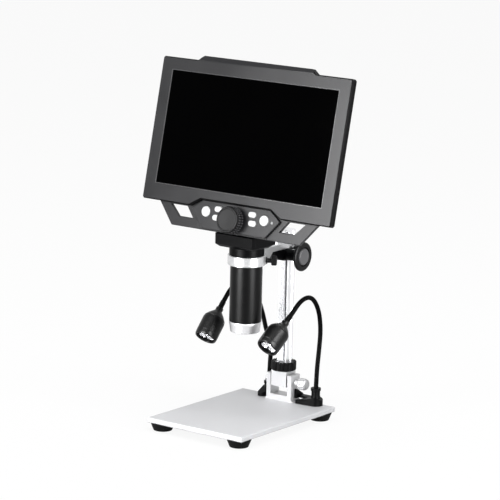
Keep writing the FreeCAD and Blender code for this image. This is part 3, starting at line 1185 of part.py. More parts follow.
def main():
    make_base()
    make_bracket()
    make_tilt_screw()
    make_column()
    make_pinion()
    make_carriage()
    make_tube()
    make_neck()
    make_housing()
    make_wing_and_panel()
    make_lamps()
    os.makedirs("parts", exist_ok=True)
    for name, shape in PARTS.items():
        shape.exportStep(f"parts/{name}.step")
        solids = len(shape.Solids)
        print(name, "solids", solids, "volume", round(shape.Volume, 1), "valid", shape.isValid())
    print(len(PARTS), "nodes")


main()
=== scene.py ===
import bmesh
import bpy
import json
import math
import numpy as np
from mathutils import Matrix, Vector

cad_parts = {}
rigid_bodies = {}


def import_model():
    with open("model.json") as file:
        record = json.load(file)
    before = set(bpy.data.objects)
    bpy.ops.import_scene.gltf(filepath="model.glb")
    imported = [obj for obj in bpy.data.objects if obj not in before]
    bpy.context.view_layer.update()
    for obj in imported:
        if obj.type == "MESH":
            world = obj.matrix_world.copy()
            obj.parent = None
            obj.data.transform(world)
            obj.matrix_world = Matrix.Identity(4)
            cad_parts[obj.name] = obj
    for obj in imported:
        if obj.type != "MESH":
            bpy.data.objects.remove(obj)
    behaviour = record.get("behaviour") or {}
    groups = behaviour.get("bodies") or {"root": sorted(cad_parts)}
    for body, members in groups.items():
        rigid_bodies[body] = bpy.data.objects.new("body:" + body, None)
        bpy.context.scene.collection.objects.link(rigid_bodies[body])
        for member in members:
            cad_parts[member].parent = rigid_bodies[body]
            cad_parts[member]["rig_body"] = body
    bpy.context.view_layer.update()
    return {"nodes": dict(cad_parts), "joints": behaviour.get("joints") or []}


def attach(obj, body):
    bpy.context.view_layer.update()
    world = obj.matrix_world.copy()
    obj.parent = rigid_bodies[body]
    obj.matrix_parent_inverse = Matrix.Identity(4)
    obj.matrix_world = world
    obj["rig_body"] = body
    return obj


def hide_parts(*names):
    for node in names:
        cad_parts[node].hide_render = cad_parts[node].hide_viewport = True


# A desk microscope with a wide leaning display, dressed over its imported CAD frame.
# Metres, X to the user's right, Y to the back, Z up. A piece's dictionary and a noise's size are in
# millimetres; the camera, the floor's size and the soft boxes are in metres.

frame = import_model()
nodes = frame["nodes"]
bodyOf = {name: node["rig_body"] for name, node in nodes.items()}
jointOf = {joint["name"]: joint for joint in frame["joints"]}
mm = 0.001
print("frame loaded,", len(nodes), "nodes")


# Camera

cameraLook = {
    "place": (1.61974, -2.18528, 0.72861),
    "azimuth": 36.46,
    "elevation": 11.53,
    "roll": 1.29,
    "lens": 207.6,
    "sensor": 36.0,
    "clip": (0.05, 30),
}


def makeCamera(look):
    azimuth = math.radians(look["azimuth"])
    elevation = math.radians(look["elevation"])
    roll = math.radians(look["roll"])
    flat = math.cos(elevation)
    back = Vector((math.sin(azimuth) * flat, -math.cos(azimuth) * flat, math.sin(elevation)))
    right = Vector((math.cos(azimuth), math.sin(azimuth), 0))
    up = back.cross(right)
    turnedRight = right * math.cos(roll) + up * math.sin(roll)
    turnedUp = up * math.cos(roll) - right * math.sin(roll)
    data = bpy.data.cameras.new("camera")
    data.lens = look["lens"]
    data.sensor_width = look["sensor"]
    data.clip_start, data.clip_end = look["clip"]
    camera = bpy.data.objects.new("camera", data)
    turn = Matrix((turnedRight, turnedUp, back)).transposed().to_4x4()
    camera.matrix_world = Matrix.Translation(look["place"]) @ turn
    bpy.context.scene.collection.objects.link(camera)
    bpy.context.scene.camera = camera


makeCamera(cameraLook)
bpy.context.scene.view_settings.view_transform = "Standard"
print("camera placed")


# Shader sockets with Python's operators: each operator adds one Math node
class Wire:
    def __init__(self, finish, socket):
        self.finish = finish
        self.socket = socket

    def maths(self, operation, first, second):
        return self.finish.node("Math", {"operation": operation}, {0: first, 1: second})

    def __add__(self, other):
        return self.maths("ADD", self, other)

    def __sub__(self, other):
        return self.maths("SUBTRACT", self, other)

    def __mul__(self, other):
        return self.maths("MULTIPLY", self, other)

    def __pow__(self, other):
        return self.maths("POWER", self, other)

    # Noise lies about 0.5, so this swings about 0
    def swing(self, amount):
        return (self - 0.5) * amount

    __radd__ = __add__


# A node tree that nodes are added to, each with its settings first and then its sockets
class Finish:
    def __init__(self, name, world=False):
        self.material = bpy.data.worlds.new(name) if world else bpy.data.materials.new(name)
        self.material.use_nodes = True
        self.tree = self.material.node_tree
        self.end = self.tree.nodes["World Output" if world else "Material Output"]
        self.shader = self.tree.nodes["Background" if world else "Principled BSDF"]

    def node(self, kind, settings=None, sockets=None, output=0):
        made = self.tree.nodes.new("ShaderNode" + kind)
        for key, value in (settings or {}).items():
            setattr(made, key, value)
        self.feed(made, sockets or {})
        return Wire(self, made.outputs[output])

    def feed(self, made, sockets):
        for key, value in sockets.items():
            if isinstance(value, Wire):
                self.tree.links.new(value.socket, made.inputs[key])
            else:
                made.inputs[key].default_value = value

    # Noise over the object's own coordinates; size is one cell's width, and stretch divides it per axis
    def noise(self, size, detail=2.0, stretch=(1, 1, 1)):
        place = self.node("TexCoord", output="Object")
        spread = self.node("Mapping", {}, {"Vector": place, "Scale": stretch})
        return self.node("TexNoise", {}, {"Vector": spread, "Scale": 1 / (size * mm), "Detail": detail})

    # 1 on an open face and 0 deep in a narrow gap, judged over a distance in millimetres; it sets where shade
    # is painted
    def openness(self, distance, low, high):
        shut = self.node("AmbientOcclusion", {"samples": 8}, {"Distance": distance * mm}, "AO")
        return self.node("MapRange", {"interpolation_type": "SMOOTHSTEP"}, {0: shut, 1: low, 2: high})

    def mixed(self, factor, first, second):
        return self.node("Mix", {"data_type": "RGBA"}, {0: factor, 6: first, 7: second}, 2)

    # Two shades of one colour, a spread darker and a spread lighter, mixed by tone
    def toned(self, tone, look):
        darker = shade(look["colour"], 1 - look["spread"])
        return self.mixed(tone, darker, shade(look["colour"], 1 + look["spread"]))

    # Painted shade: a look that asks for it is darker deep in its gaps, where the ambient occlusion finds
    # other faces near
    def shadedGaps(self, colour, look, darkness):
        if "paintedGapShade" not in look:
            return colour
        return self.mixed(self.openness(*look["paintedGapShade"]), shade(look["colour"], darkness), colour)

    def bump(self, height, depth, strength):
        return self.node("Bump", {}, {"Height": height, "Distance": depth * mm, "Strength": strength})

    # At least 1 for rays that show a thing to the camera: straight, in a mirror or through glass
    def seenByCamera(self):
        camera, glossy, through = [self.node("LightPath", output=f"Is {kind} Ray")
                                   for kind in ("Camera", "Glossy", "Transmission")]
        return camera + glossy + through

    def surface(self, sockets):
        self.feed(self.shader, sockets)
        return self.material


def shade(colour, factor):
    return tuple(min(1.0, part * factor) for part in colour[:3]) + (1.0,)


# Materials: layers says how much each noise counts in the tone, the roughness and the relief, and how dark
# the painted shade in gaps is

plasticLayers = {"cloudTone": 0.6, "grainTone": 0.4, "cloudRough": 0.16, "grainRough": 0.12, "relief": 0.6,
                 "gapShade": 0.1}
metalLayers = {"cloud": 14.0, "marksTone": 0.5, "cloudTone": 0.5, "marksRough": 0.18, "cloudRough": 0.08,
               "relief": 0.5, "gapShade": 0.02}
sheetLayers = {"cloud": 60.0, "coarseness": 4, "fineHeight": 0.7, "coarseHeight": 0.3, "cloudTone": 0.6,
               "fineTone": 0.4, "cloudRough": 0.12, "coarseRough": 0.08, "relief": 0.5}
glassLayers = {"film": 35.0, "smear": 6.0, "smearStretch": (1, 1, 3), "filmRough": 0.06, "smearRough": 0.05,
               "dark": 0.7, "pale": 1.4}
glowLayers = {"dark": 0.85, "roughness": 0.35}


# Moulded plastic: soft clouds of tone, a fine spark grain, and a roughness that follows both
def mouldedPlastic(name, look, layers=plasticLayers):
    finish = Finish(name)
    cloud = finish.noise(look["cloud"], detail=3.0)
    grain = finish.noise(look["grain"])
    colour = finish.toned(cloud * layers["cloudTone"] + grain * layers["grainTone"], look)
    rough = look["roughness"] + cloud.swing(layers["cloudRough"]) + grain.swing(layers["grainRough"])
    return finish.surface({"Base Color": finish.shadedGaps(colour, look, layers["gapShade"]),
                           "Roughness": rough, "Specular IOR Level": look["gloss"],
                           "Normal": finish.bump(grain, look["depth"], layers["relief"])})


# Machined metal: long thin noise cells along one axis are the tool's marks
def brushedMetal(name, look, layers=metalLayers):
    finish = Finish(name)
    marks = finish.noise(look["mark"], detail=3.0, stretch=look["stretch"])
    cloud = finish.noise(layers["cloud"])
    colour = finish.toned(marks * layers["marksTone"] + cloud * layers["cloudTone"], look)
    rough = look["roughness"] + marks.swing(layers["marksRough"]) + cloud.swing(layers["cloudRough"])
    return finish.surface({"Base Color": finish.shadedGaps(colour, look, layers["gapShade"]),
                           "Roughness": rough, "Metallic": look["metallic"],
                           "Specular IOR Level": look["gloss"],
                           "Normal": finish.bump(marks, look["depth"], layers["relief"])})


# Blasted and anodised sheet: two sizes of noise give its sparkle, with faint handling clouds
def blastedSheet(name, look, layers=sheetLayers):
    finish = Finish(name)
    fine = finish.noise(look["grain"])
    coarse = finish.noise(look["grain"] * layers["coarseness"])
    cloud = finish.noise(layers["cloud"], detail=3.0)
    height = fine * layers["fineHeight"] + coarse * layers["coarseHeight"]
    colour = finish.toned(cloud * layers["cloudTone"] + fine * layers["fineTone"], look)
    rough = look["roughness"] + cloud.swing(layers["cloudRough"]) + coarse.swing(layers["coarseRough"])
    return finish.surface({"Base Color": colour, "Roughness": rough, "Metallic": look["metallic"],
                           "Normal": finish.bump(height, look["depth"], layers["relief"])})


# Glossy cover: smooth and nearly black, with a faint film of handling marks in its roughness
def coverGlass(name, look, layers=glassLayers):
    finish = Finish(name)
    film = finish.noise(layers["film"], detail=4.0)
    smear = finish.noise(layers["smear"], detail=3.0, stretch=layers["smearStretch"])
    rough = look["roughness"] + (film ** 2) * layers["filmRough"] + (smear ** 3) * layers["smearRough"]
    colour = finish.mixed(film, shade(look["colour"], layers["dark"]), shade(look["colour"], layers["pale"]))
    return finish.surface({"Base Color": colour, "Roughness": rough, "Specular IOR Level": look["gloss"]})


# A lit chip or light guide: its glow fades over its grain
def litFace(name, look, layers=glowLayers):
    finish = Finish(name)
    colour = finish.mixed(finish.noise(look["grain"]), shade(look["colour"], layers["dark"]),
                          shade(look["colour"], 1.0))
    return finish.surface({"Base Color": colour, "Roughness": layers["roughness"], "Emission Color": colour,
                           "Emission Strength": look["glow"]})


plastics = {
    "charcoal": dict(colour=(0.021, 0.021, 0.023), spread=0.16, roughness=0.35, gloss=0.14, cloud=40.0,
                     grain=0.5, depth=0.015, slot="grey_plastic"),
    # wingGrey has painted shade deep in its gaps, round the buttons, the wheel and the panel's border
    "wingGrey": dict(colour=(0.021, 0.021, 0.023), spread=0.16, roughness=0.36, gloss=0.15, cloud=30.0,
                     grain=0.5, depth=0.015, slot="grey_plastic", paintedGapShade=(1.8, 0.5, 0.85)),
    # paintedSideShade is painted shade for the display's sides and slopes
    "paintedSideShade": dict(colour=(0.004, 0.004, 0.0045), spread=0.2, roughness=0.42, gloss=0.06, cloud=25.0,
                      grain=0.5, depth=0.015, slot="grey_plastic"),
    # frameLine's lighter grey is partly the screen line's own colour and partly a painted highlight
    "frameLine": dict(colour=(0.075, 0.075, 0.078), spread=0.15, roughness=0.3, gloss=0.4, cloud=12.0,
                      grain=0.4, depth=0.01, slot="grey_plastic"),
    "neckBlack": dict(colour=(0.0025, 0.0026, 0.003), spread=0.2, roughness=0.36, gloss=0.04, cloud=25.0,
                      grain=0.4, depth=0.015, slot="black_plastic"),
    "footBlack": dict(colour=(0.002, 0.002, 0.0024), spread=0.2, roughness=0.4, gloss=0.05, cloud=12.0,
                      grain=0.4, depth=0.02, slot="black_plastic"),
    "lampBlack": dict(colour=(0.0025, 0.0025, 0.0028), spread=0.25, roughness=0.33, gloss=0.16, cloud=9.0,
                      grain=0.35, depth=0.012, slot="black_plastic"),
    "gooseneckBlack": dict(colour=(0.0008, 0.0008, 0.0009), spread=0.25, roughness=0.4, gloss=0.025,
                           cloud=18.0, grain=0.3, depth=0.01, slot="black_rubber"),
    "nutBlack": dict(colour=(0.002, 0.002, 0.0024), spread=0.2, roughness=0.4, gloss=0.06, cloud=10.0,
                     grain=0.35, depth=0.02, slot="black_plastic"),
    "knobBlack": dict(colour=(0.004, 0.004, 0.0046), spread=0.2, roughness=0.42, gloss=0.11, cloud=10.0,
                      grain=0.35, depth=0.02, slot="black_plastic"),
    # studTopHighlight is a painted highlight on the focus wheel's stud tops
    "studTopHighlight": dict(colour=(0.075, 0.075, 0.08), spread=0.14, roughness=0.4, gloss=0.4, cloud=10.0,
                     grain=0.35, depth=0.02, slot="black_plastic"),
    "knobGrey": dict(colour=(0.1, 0.1, 0.106), spread=0.14, roughness=0.46, gloss=0.4, cloud=10.0,
                     grain=0.35, depth=0.02, slot="grey_plastic"),
    "rubber": dict(colour=(0.002, 0.002, 0.0022), spread=0.3, roughness=0.7, gloss=0.08, cloud=8.0,
                   grain=0.6, depth=0.05, slot="black_rubber"),
    "keyWhite": dict(colour=(0.84, 0.85, 0.85), spread=0.03, roughness=0.4, gloss=0.4, cloud=6.0, grain=0.3,
                     depth=0.01, slot="white_plastic"),
    "nylon": dict(colour=(0.7, 0.69, 0.65), spread=0.05, roughness=0.5, gloss=0.4, cloud=6.0, grain=0.3,
                  depth=0.01, slot="nylon"),
    "circuitBoard": dict(colour=(0.015, 0.09, 0.05), spread=0.3, roughness=0.4, gloss=0.5, cloud=3.0,
                         grain=0.8, depth=0.02, slot="board"),
    "cellWrap": dict(colour=(0.16, 0.17, 0.2), spread=0.1, roughness=0.3, gloss=0.5, cloud=15.0, grain=1.0,
                     depth=0.03, slot="cell"),
    "panelModule": dict(colour=(0.08, 0.08, 0.085), spread=0.1, roughness=0.35, gloss=0.5, cloud=20.0,
                        grain=1.0, depth=0.02, slot="screen_module"),
}
metals = {
    "railSilver": dict(colour=(0.78, 0.785, 0.80), spread=0.06, roughness=0.3, metallic=1.0, gloss=0.5,
                       mark=0.5, stretch=(1, 1, 0.02), depth=0.01, slot="bright_metal"),
    # brightSilver and bracketSilver have painted shade deep in their gaps
    "brightSilver": dict(colour=(0.66, 0.665, 0.675), spread=0.05, roughness=0.24, metallic=0.5, gloss=0.5,
                         mark=0.4, stretch=(0.05, 0.05, 1), depth=0.008, slot="bright_metal",
                         paintedGapShade=(3.0, 0.12, 0.45)),
    "bracketSilver": dict(colour=(0.52, 0.52, 0.53), spread=0.05, roughness=0.36, metallic=0.35, gloss=0.5,
                          mark=0.6, stretch=(1, 0.05, 1), depth=0.012, slot="bright_metal",
                          paintedGapShade=(5.0, 0.12, 0.45)),
    "tipSilver": dict(colour=(0.58, 0.58, 0.59), spread=0.05, roughness=0.38, metallic=0.85, gloss=0.5,
                      mark=0.4, stretch=(0.06, 0.06, 1), depth=0.01, slot="bright_metal"),
    "tubeBlack": dict(colour=(0.0018, 0.0019, 0.0022), spread=0.15, roughness=0.32, metallic=0.0, gloss=0.1,
                      mark=0.4, stretch=(0.08, 0.08, 1), depth=0.004, slot="black_plastic"),
    "screwSteel": dict(colour=(0.5, 0.5, 0.51), spread=0.1, roughness=0.3, metallic=1.0, gloss=0.5,
                       mark=0.3, stretch=(1, 1, 1), depth=0.01, slot="steel"),
    "reflector": dict(colour=(0.62, 0.62, 0.64), spread=0.03, roughness=0.14, metallic=1.0, gloss=0.5,
                      mark=0.4, stretch=(1, 1, 1), depth=0.004, slot="bright_metal"),
}
slotOf = {name: look["slot"] for name, look in {**plastics, **metals}.items()}
slotOf.update({"plateSilver": "plate_aluminium", "screenBlack": "black_glass", "lensGlass": "clear",
               "chipGlow": "clear", "pilotGlow": "clear"})
finishes = {name: mouldedPlastic(name, look) for name, look in plastics.items()}
finishes.update({name: brushedMetal(name, look) for name, look in metals.items()})
finishes["plateSilver"] = blastedSheet("plateSilver", {
    "colour": (0.50, 0.503, 0.515), "spread": 0.035, "roughness": 0.56, "metallic": 0.38,
    "grain": 0.5, "depth": 0.02})
finishes["screenBlack"] = coverGlass("screenBlack", {
    "colour": (0.0005, 0.0005, 0.0006), "roughness": 0.04, "gloss": 0.008})
finishes["lensGlass"] = coverGlass("lensGlass", {
    "colour": (0.01, 0.012, 0.02), "roughness": 0.03, "gloss": 0.9})
finishes["chipGlow"] = litFace("chipGlow", {"colour": (1.0, 0.97, 0.92), "glow": 1.4, "grain": 0.6})
finishes["pilotGlow"] = litFace("pilotGlow", {"colour": (0.22, 0.23, 0.24), "glow": 0.05, "grain": 0.5})
print("materials made,", len(finishes))


# Surfaces

sides = ("left", "right")
# Angles in degrees, and distances in metres
meshLook = {"sharp": 32, "merge": 2e-6, "thinnest": 1e-6, "flat": 0.6, "bevelSegments": 2}


# A grid of points becomes quads; its last column joins the first, and closeRows joins the rows too
def gridObject(name, points, closeRows=False, sharp=meshLook["sharp"]):
    rows, columns = points.shape[:2]
    index = np.arange(rows * columns).reshape(rows, columns)
    index = np.concatenate([index, index[:, :1]], axis=1)
    if closeRows:
        index = np.concatenate([index, index[:1]], axis=0)
    quads = np.stack([index[:-1, :-1], index[:-1, 1:], index[1:, 1:], index[1:, :-1]], axis=-1)
    return meshObject(name, points.reshape(-1, 3) * mm, quads.reshape(-1, 4), sharp)


# Points and faces become an object at the origin: doubles merged, normals outwards, edges kept sharp;
# flatter joins the faces that lie within that angle of each other
def meshObject(name, points, faces, sharp, flatter=None):
    mesh = bpy.data.meshes.new(name)
    mesh.from_pydata(points.tolist(), [], faces.tolist())
    build = bmesh.new()
    build.from_mesh(mesh)
    bmesh.ops.remove_doubles(build, verts=build.verts, dist=meshLook["merge"])
    bmesh.ops.dissolve_degenerate(build, edges=build.edges, dist=meshLook["thinnest"])
    if flatter is not None:
        bmesh.ops.dissolve_limit(build, verts=build.verts, edges=build.edges,
                                 angle_limit=math.radians(flatter), use_dissolve_boundaries=False)
    bmesh.ops.recalc_face_normals(build, faces=build.faces)
    build.to_mesh(mesh)
    build.free()
    mesh.shade_smooth()
    mesh.set_sharp_from_angle(angle=math.radians(sharp))
    piece = bpy.data.objects.new(name, mesh)
    bpy.context.scene.collection.objects.link(piece)
    return piece


# An attribute of all items of a mesh, in rows of three
def readRows(items, attribute, width=3, kind=float):
    values = np.zeros(len(items) * width, kind)
    items.foreach_get(attribute, values)
    return values.reshape(-1, 3)


# Paints a piece, hides the nodes it stands for, and lets it ride on their body
def fit(piece, finish, *stoodFor, body=None):
    piece.data.materials.append(finishes[finish])
    if stoodFor:
        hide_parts(*stoodFor)
    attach(piece, body or bodyOf[stoodFor[0]])
    return piece


# Gives a second finish to the faces where chosen is true
def paintFaces(piece, finish, chosen):
    piece.data.materials.append(finishes[finish])
    piece.data.polygons.foreach_set("material_index", chosen.astype(np.int32))
    piece.data.update()


# Each corner of a profile becomes a short parabola between points on its two sides:
# (1-t)^2 a + 2t(1-t) corner + t^2 b, with a and b no further off than a third of each side
def softened(profile, reach, steps=4):
    points = np.array(profile, float)
    corners = points[1:-1]
    back = points[:-2] - corners
    ahead = points[2:] - corners
    backLength = np.linalg.norm(back, axis=1, keepdims=True)
    aheadLength = np.linalg.norm(ahead, axis=1, keepdims=True)
    first = corners + back / backLength * np.minimum(reach, backLength / 3)
    second = corners + ahead / aheadLength * np.minimum(reach, aheadLength / 3)
    t = np.linspace(0, 1, steps)[None, :, None]
    bends = (1 - t) ** 2 * first[:, None] + 2 * t * (1 - t) * corners[:, None] + t ** 2 * second[:, None]
    return np.concatenate([points[:1], bends.reshape(-1, 2), points[-1:]])


def lengthAlong(points):
    return np.concatenate([[0], np.cumsum(np.linalg.norm(np.diff(points, axis=0), axis=1))])


# Points of a line at some lengths along it, by linear interpolation
def pointsAt(along, line):
    length = lengthAlong(line)
    return np.stack([np.interp(along, length, part) for part in line.T], axis=1)


# A profile ready to be spun: corners softened over a reach, and no points further apart than spacing
def smoothed(profile, reach, spacing, steps=4):
    profile = softened(profile, reach, steps)
    length = lengthAlong(profile)
    return pointsAt(np.union1d(length, np.arange(0, length[-1], spacing)), profile)


# Points of a profile at offsets from one of its corners
def near(radius, height, offsets):
    return [(radius + out, height + up) for out, up in offsets]


# Points of a profile at shares of one radius, with their heights measured from one height
def scaled(radius, height, shares):
    return [(radius * share, height + up) for share, up in shares]


# Two directions square to an axis and to each other
def sideways(axis):
    axis = np.array(axis, float)
    helper = np.eye(3)[np.argmin(np.abs(axis))]
    side = np.cross(axis, helper)
    side = side / np.linalg.norm(side)
    return side, np.cross(axis, side)


def wholeTurn(steps):
    return np.linspace(0, 2 * math.pi, steps, endpoint=False)[None, :]


# A profile of (radius, height) spun about an axis, all in millimetres:
# point = origin + height * axis + radius * (cos(turn) * side + sin(turn) * up).
# relief gives what is added to the radius and to the height at each turn and height.
def turnedObject(name, profile, origin, axis, steps=96, relief=None, ring=False, sharp=meshLook["sharp"]):
    axis = np.array(axis, float) / np.linalg.norm(axis)
    side, up = sideways(axis)
    turn = wholeTurn(steps)
    radius = profile[:, :1] + 0 * turn
    height = profile[:, 1:] + 0 * turn
    if relief is not None:
        outward, along = relief(turn, radius, height)
        radius = radius + outward
        height = height + along
    around = np.cos(turn)[..., None] * side + np.sin(turn)[..., None] * up
    points = np.array(origin, float) + height[..., None] * axis + radius[..., None] * around
    return gridObject(name, points, closeRows=ring, sharp=sharp)


# A step from 0 to 1 between two values, smooth at both ends: s * s * (3 - 2 s)
def ramp(value, low, high):
    s = np.clip((value - low) / (high - low), 0, 1)
    return s * s * (3 - 2 * s)


# 1 between a start and an end, 0 outside them; rise and fall say how far inside them it changes
def between(value, start, rise, end, fall):
    return ramp(value, start + rise[0], start + rise[1]) * (1 - ramp(value, end - fall[0], end - fall[1]))


# A cosine of one pitch along a length, from 0 to 1: 0.5 + 0.5 cos(2 pi distance / pitch)
def waves(distance, pitch):
    return 0.5 + 0.5 * np.cos(distance / pitch * 2 * math.pi)


# A row of square-topped waves round a turn: 1 on each tooth, 0 in each gap, with sloped sides
def teeth(turn, count, fill, slope):
    wave = np.abs((turn * count / (2 * math.pi)) % 1 - 0.5) * 2
    return 1 - ramp(wave, fill - slope, fill + slope)


# A joint's place in millimetres and its axis
def jointLine(name):
    joint = jointOf[name]
    return np.array(joint["pos_m"]) * 1000, np.array(joint["axis"], float)


# The point of the floor right below an upright joint
def belowJoint(name):
    origin, _ = jointLine(name)
    return np.array([origin[0], origin[1], 0.0])


# A CAD node's own mesh, its doubles merged and its flat faces joined, with its edges rounded off
def roundedNode(node, finish, width):
    source = nodes[node].data
    words = node.split("_")
    name = words[0] + "".join(word.capitalize() for word in words[1:])
    piece = meshObject(name, readRows(source.vertices, "co"), readRows(source.loops, "vertex_index", 1, int),
                       meshLook["sharp"], meshLook["flat"])
    edge = piece.modifiers.new("roundedEdges", "BEVEL")
    edge.width = width * mm
    edge.segments = meshLook["bevelSegments"]
    edge.limit_method = "ANGLE"
    edge.angle_limit = math.radians(meshLook["sharp"])
    edge.use_clamp_overlap = True
    edge.harden_normals = True
    return fit(piece, finish, node)


# CAD nodes that keep their shape, with the finish of each

nodeFinishes = {
    "railSilver": ["column_rack", "column_cap"],
    "screwSteel": ["foot_screws", "plate_screws", "arm_screws", "cover_screws", "tilt_nut", "pinion_shaft",
                   "pivot_washers"],
    "nylon": ["guide_pad"],
    "neckBlack": ["lens_carrier"],
    "lensGlass": ["objective_lens"],
    "circuitBoard": ["sensor_board", "led_ring", "button_board", "main_board"],
    "cellWrap": ["battery"],
    "panelModule": ["lcd_module"],
    "pilotGlow": ["indicator_light"],
    "screenBlack": ["display_glass"],
}
for finishName, nodeNames in nodeFinishes.items():
    for nodeName in nodeNames:
        for slot in nodes[nodeName].material_slots:
            slot.material = finishes[finishName]
print("kept nodes painted")


# CAD nodes whose edges get a real rounding: the finish and the rounding's width in millimetres

roundings = {
    "base_plate": ("plateSilver", 0.25),
    **{f"foot_{end}_{side}": ("rubber", 0.5) for end in ("front", "rear") for side in sides},
    "hinge_bracket": ("bracketSilver", 0.35),
    "pivot_block": ("bracketSilver", 0.3),
    "column_rail": ("railSilver", 0.12),
    "carriage_body": ("neckBlack", 0.4),
    "ring_arm": ("brightSilver", 0.25),
    "neck_collar": ("neckBlack", 0.35),
    "neck_block": ("neckBlack", 0.5),
    "front_bezel": ("charcoal", 0.25),
    "back_cover": ("charcoal", 0.35),
    "wing_frame": ("wingGrey", 0.25),
    "control_panel": ("wingGrey", 0.25),
    **{f"lamp_foot_{side}": ("footBlack", 0.4) for side in sides},
    **{f"button_{side}_{place}": ("keyWhite", 0.15)
       for side in sides for place in ("round", "upper", "lower")},
}
rounded = {nodeName: roundedNode(nodeName, finishName, width)
           for nodeName, (finishName, width) in roundings.items()}
print("edges rounded on", len(roundings), "nodes")


# Painted shade: the display's sides and slopes get a darker finish than its front and its back: where a
# face's normal leaves the display's own axis by more than an angle, the second finish is used

# lineRings: how far each ring of the line lies outside the screen, and how deep
displayLook = {"sideAngle": 40.0, "startAboveWheel": 8.0, "windowHalf": 99.0, "windowLow": 16.7,
               "windowHigh": 128.1, "lineRings": [(0.3, -0.02), (0.09, -0.04), (-0.45, 0.45)],
               "lineSharp": 10}
wheelPlace, outOfDisplay = jointLine("wheel_turn")
intoDisplay = -outOfDisplay / np.linalg.norm(outOfDisplay)
upDisplay = np.array([0.0, -intoDisplay[2], intoDisplay[1]])
displayStart = wheelPlace + displayLook["startAboveWheel"] * upDisplay


def paintShadeOnSides(piece, finish, angle):
    facing = np.abs(readRows(piece.data.polygons, "normal") @ intoDisplay)
    paintFaces(piece, finish, facing < math.cos(math.radians(angle)))


# A narrow sloping line round the screen: four runs between one rectangle and the next; its lighter grey is
# partly the line's own colour and partly a painted highlight of the lit slope
def makeWindowLine(look):
    rings = []
    for out, depth in look["lineRings"]:
        across = (look["windowHalf"] + out) * np.array([-1, 1, 1, -1])
        up = np.array([look["windowLow"] - out] * 2 + [look["windowHigh"] + out] * 2)
        rings.append(displayStart + across[:, None] * np.array([1.0, 0, 0]) + up[:, None] * upDisplay
                     + depth * intoDisplay)
    line = gridObject("screenLine", np.array(rings), sharp=look["lineSharp"])
    fit(line, "frameLine", body="head")


for shellName in ("front_bezel", "back_cover"):
    paintShadeOnSides(rounded[shellName], "paintedSideShade", displayLook["sideAngle"])
makeWindowLine(displayLook)
print("display dressed")


# Focus wheel: two rows of small square studs round its rim with a painted highlight on their tops, and a thin
# ring at the edge of its face

wheelLook = {"radius": 13.3, "rim": 8.0, "faceRadius": 12.2, "faceRise": 1.8, "faceSlope": 0.2,
             "faceRing": [(0, -0.4), (-0.4, 0), (-1.2, 0), (-1.5, -0.5), (-1.9, -0.5), (-2.1, -0.15)],
             "faceDip": 0.35, "hubRadius": 9.0, "hubBack": 2.7, "shaftRadius": 3.0, "shaftBack": 15.0,
             "studs": 32, "studHeight": 1.0, "studShape": (0.56, 0.16), "rowGap": 0.8, "rowStart": (0, 0.3),
             "rowEnd": (0.7, 0.35), "rimBand": 0.1, "highlightBand": 0.25, "smooth": (0.25, 0.22),
             "stepsPerStud": 8, "sharp": 50}


def makeWheel(look):
    origin, axis = jointLine("wheel_turn")
    root = look["radius"] - look["studHeight"]
    front = look["rim"] + look["faceRise"]
    face = look["faceRadius"]
    profile = [(0, -look["shaftBack"]), (look["shaftRadius"], -look["shaftBack"]),
               (look["shaftRadius"], -look["hubBack"]), (look["hubRadius"], -look["hubBack"]),
               (look["hubRadius"], 0), (root, 0), (root, look["rim"]),
               (face - look["faceSlope"], look["rim"]), *near(face, front, look["faceRing"]),
               (0, front - look["faceDip"])]
    shape = smoothed(profile, *look["smooth"])

    # Studs stand where both the turn and the height are on a tooth: radius + height * tooth * row
    def studs(turn, radius, height):
        middle = look["rim"] / 2
        row = between(np.abs(height - middle), look["rowGap"] / 2, look["rowStart"], middle, look["rowEnd"])
        onRim = np.abs(radius - root) < look["rimBand"]
        return onRim * look["studHeight"] * row * teeth(turn, look["studs"], *look["studShape"]), 0

    piece = turnedObject("focusWheel", shape, origin, axis, look["studs"] * look["stepsPerStud"], studs,
                         sharp=look["sharp"])
    fit(piece, "knobBlack", "focus_wheel")
    fromOrigin = readRows(piece.data.polygons, "center") / mm - origin
    along = fromOrigin @ (axis / np.linalg.norm(axis))
    away = np.sqrt((fromOrigin ** 2).sum(axis=1) - along ** 2)
    # The stud tops get a lighter grey: a painted highlight
    paintFaces(piece, "studTopHighlight", (away > look["radius"] - look["highlightBand"]) & (along < look["rim"]))


makeWheel(wheelLook)
print("wheel made")


# Focus knobs: a knurled rim, a turned groove and a raised lighter disc

knobLook = {"radius": 14.3, "thick": 4.2, "standoff": 3.0, "hubRadius": 5.5, "faceRadius": 8.0,
            "start": 22.3, "shaftRadius": 2.0, "backEdge": [(-1.0, 0), (0, 1.0)],
            "frontEdge": [(0, -1.5), (-1.1, -0.7)], "groove": [(1.8, -0.7), (1.2, -1.9), (0.2, -1.9)],
            "discEdge": [(0.2, -1.9), (0, -0.7), (-0.6, 0), (-1.6, -0.15)], "discDip": 0.05,
            "ribs": 72, "ribHeight": 0.35, "ribShape": (0.5, 0.3), "ribStart": (0.6, 1.2),
            "ribEnd": (1.7, 1.3), "ribBand": 0.6, "smooth": (0.4, 0.35), "discSmooth": (0.4, 0.5),
            "stepsPerRib": 5, "sharp": 45}


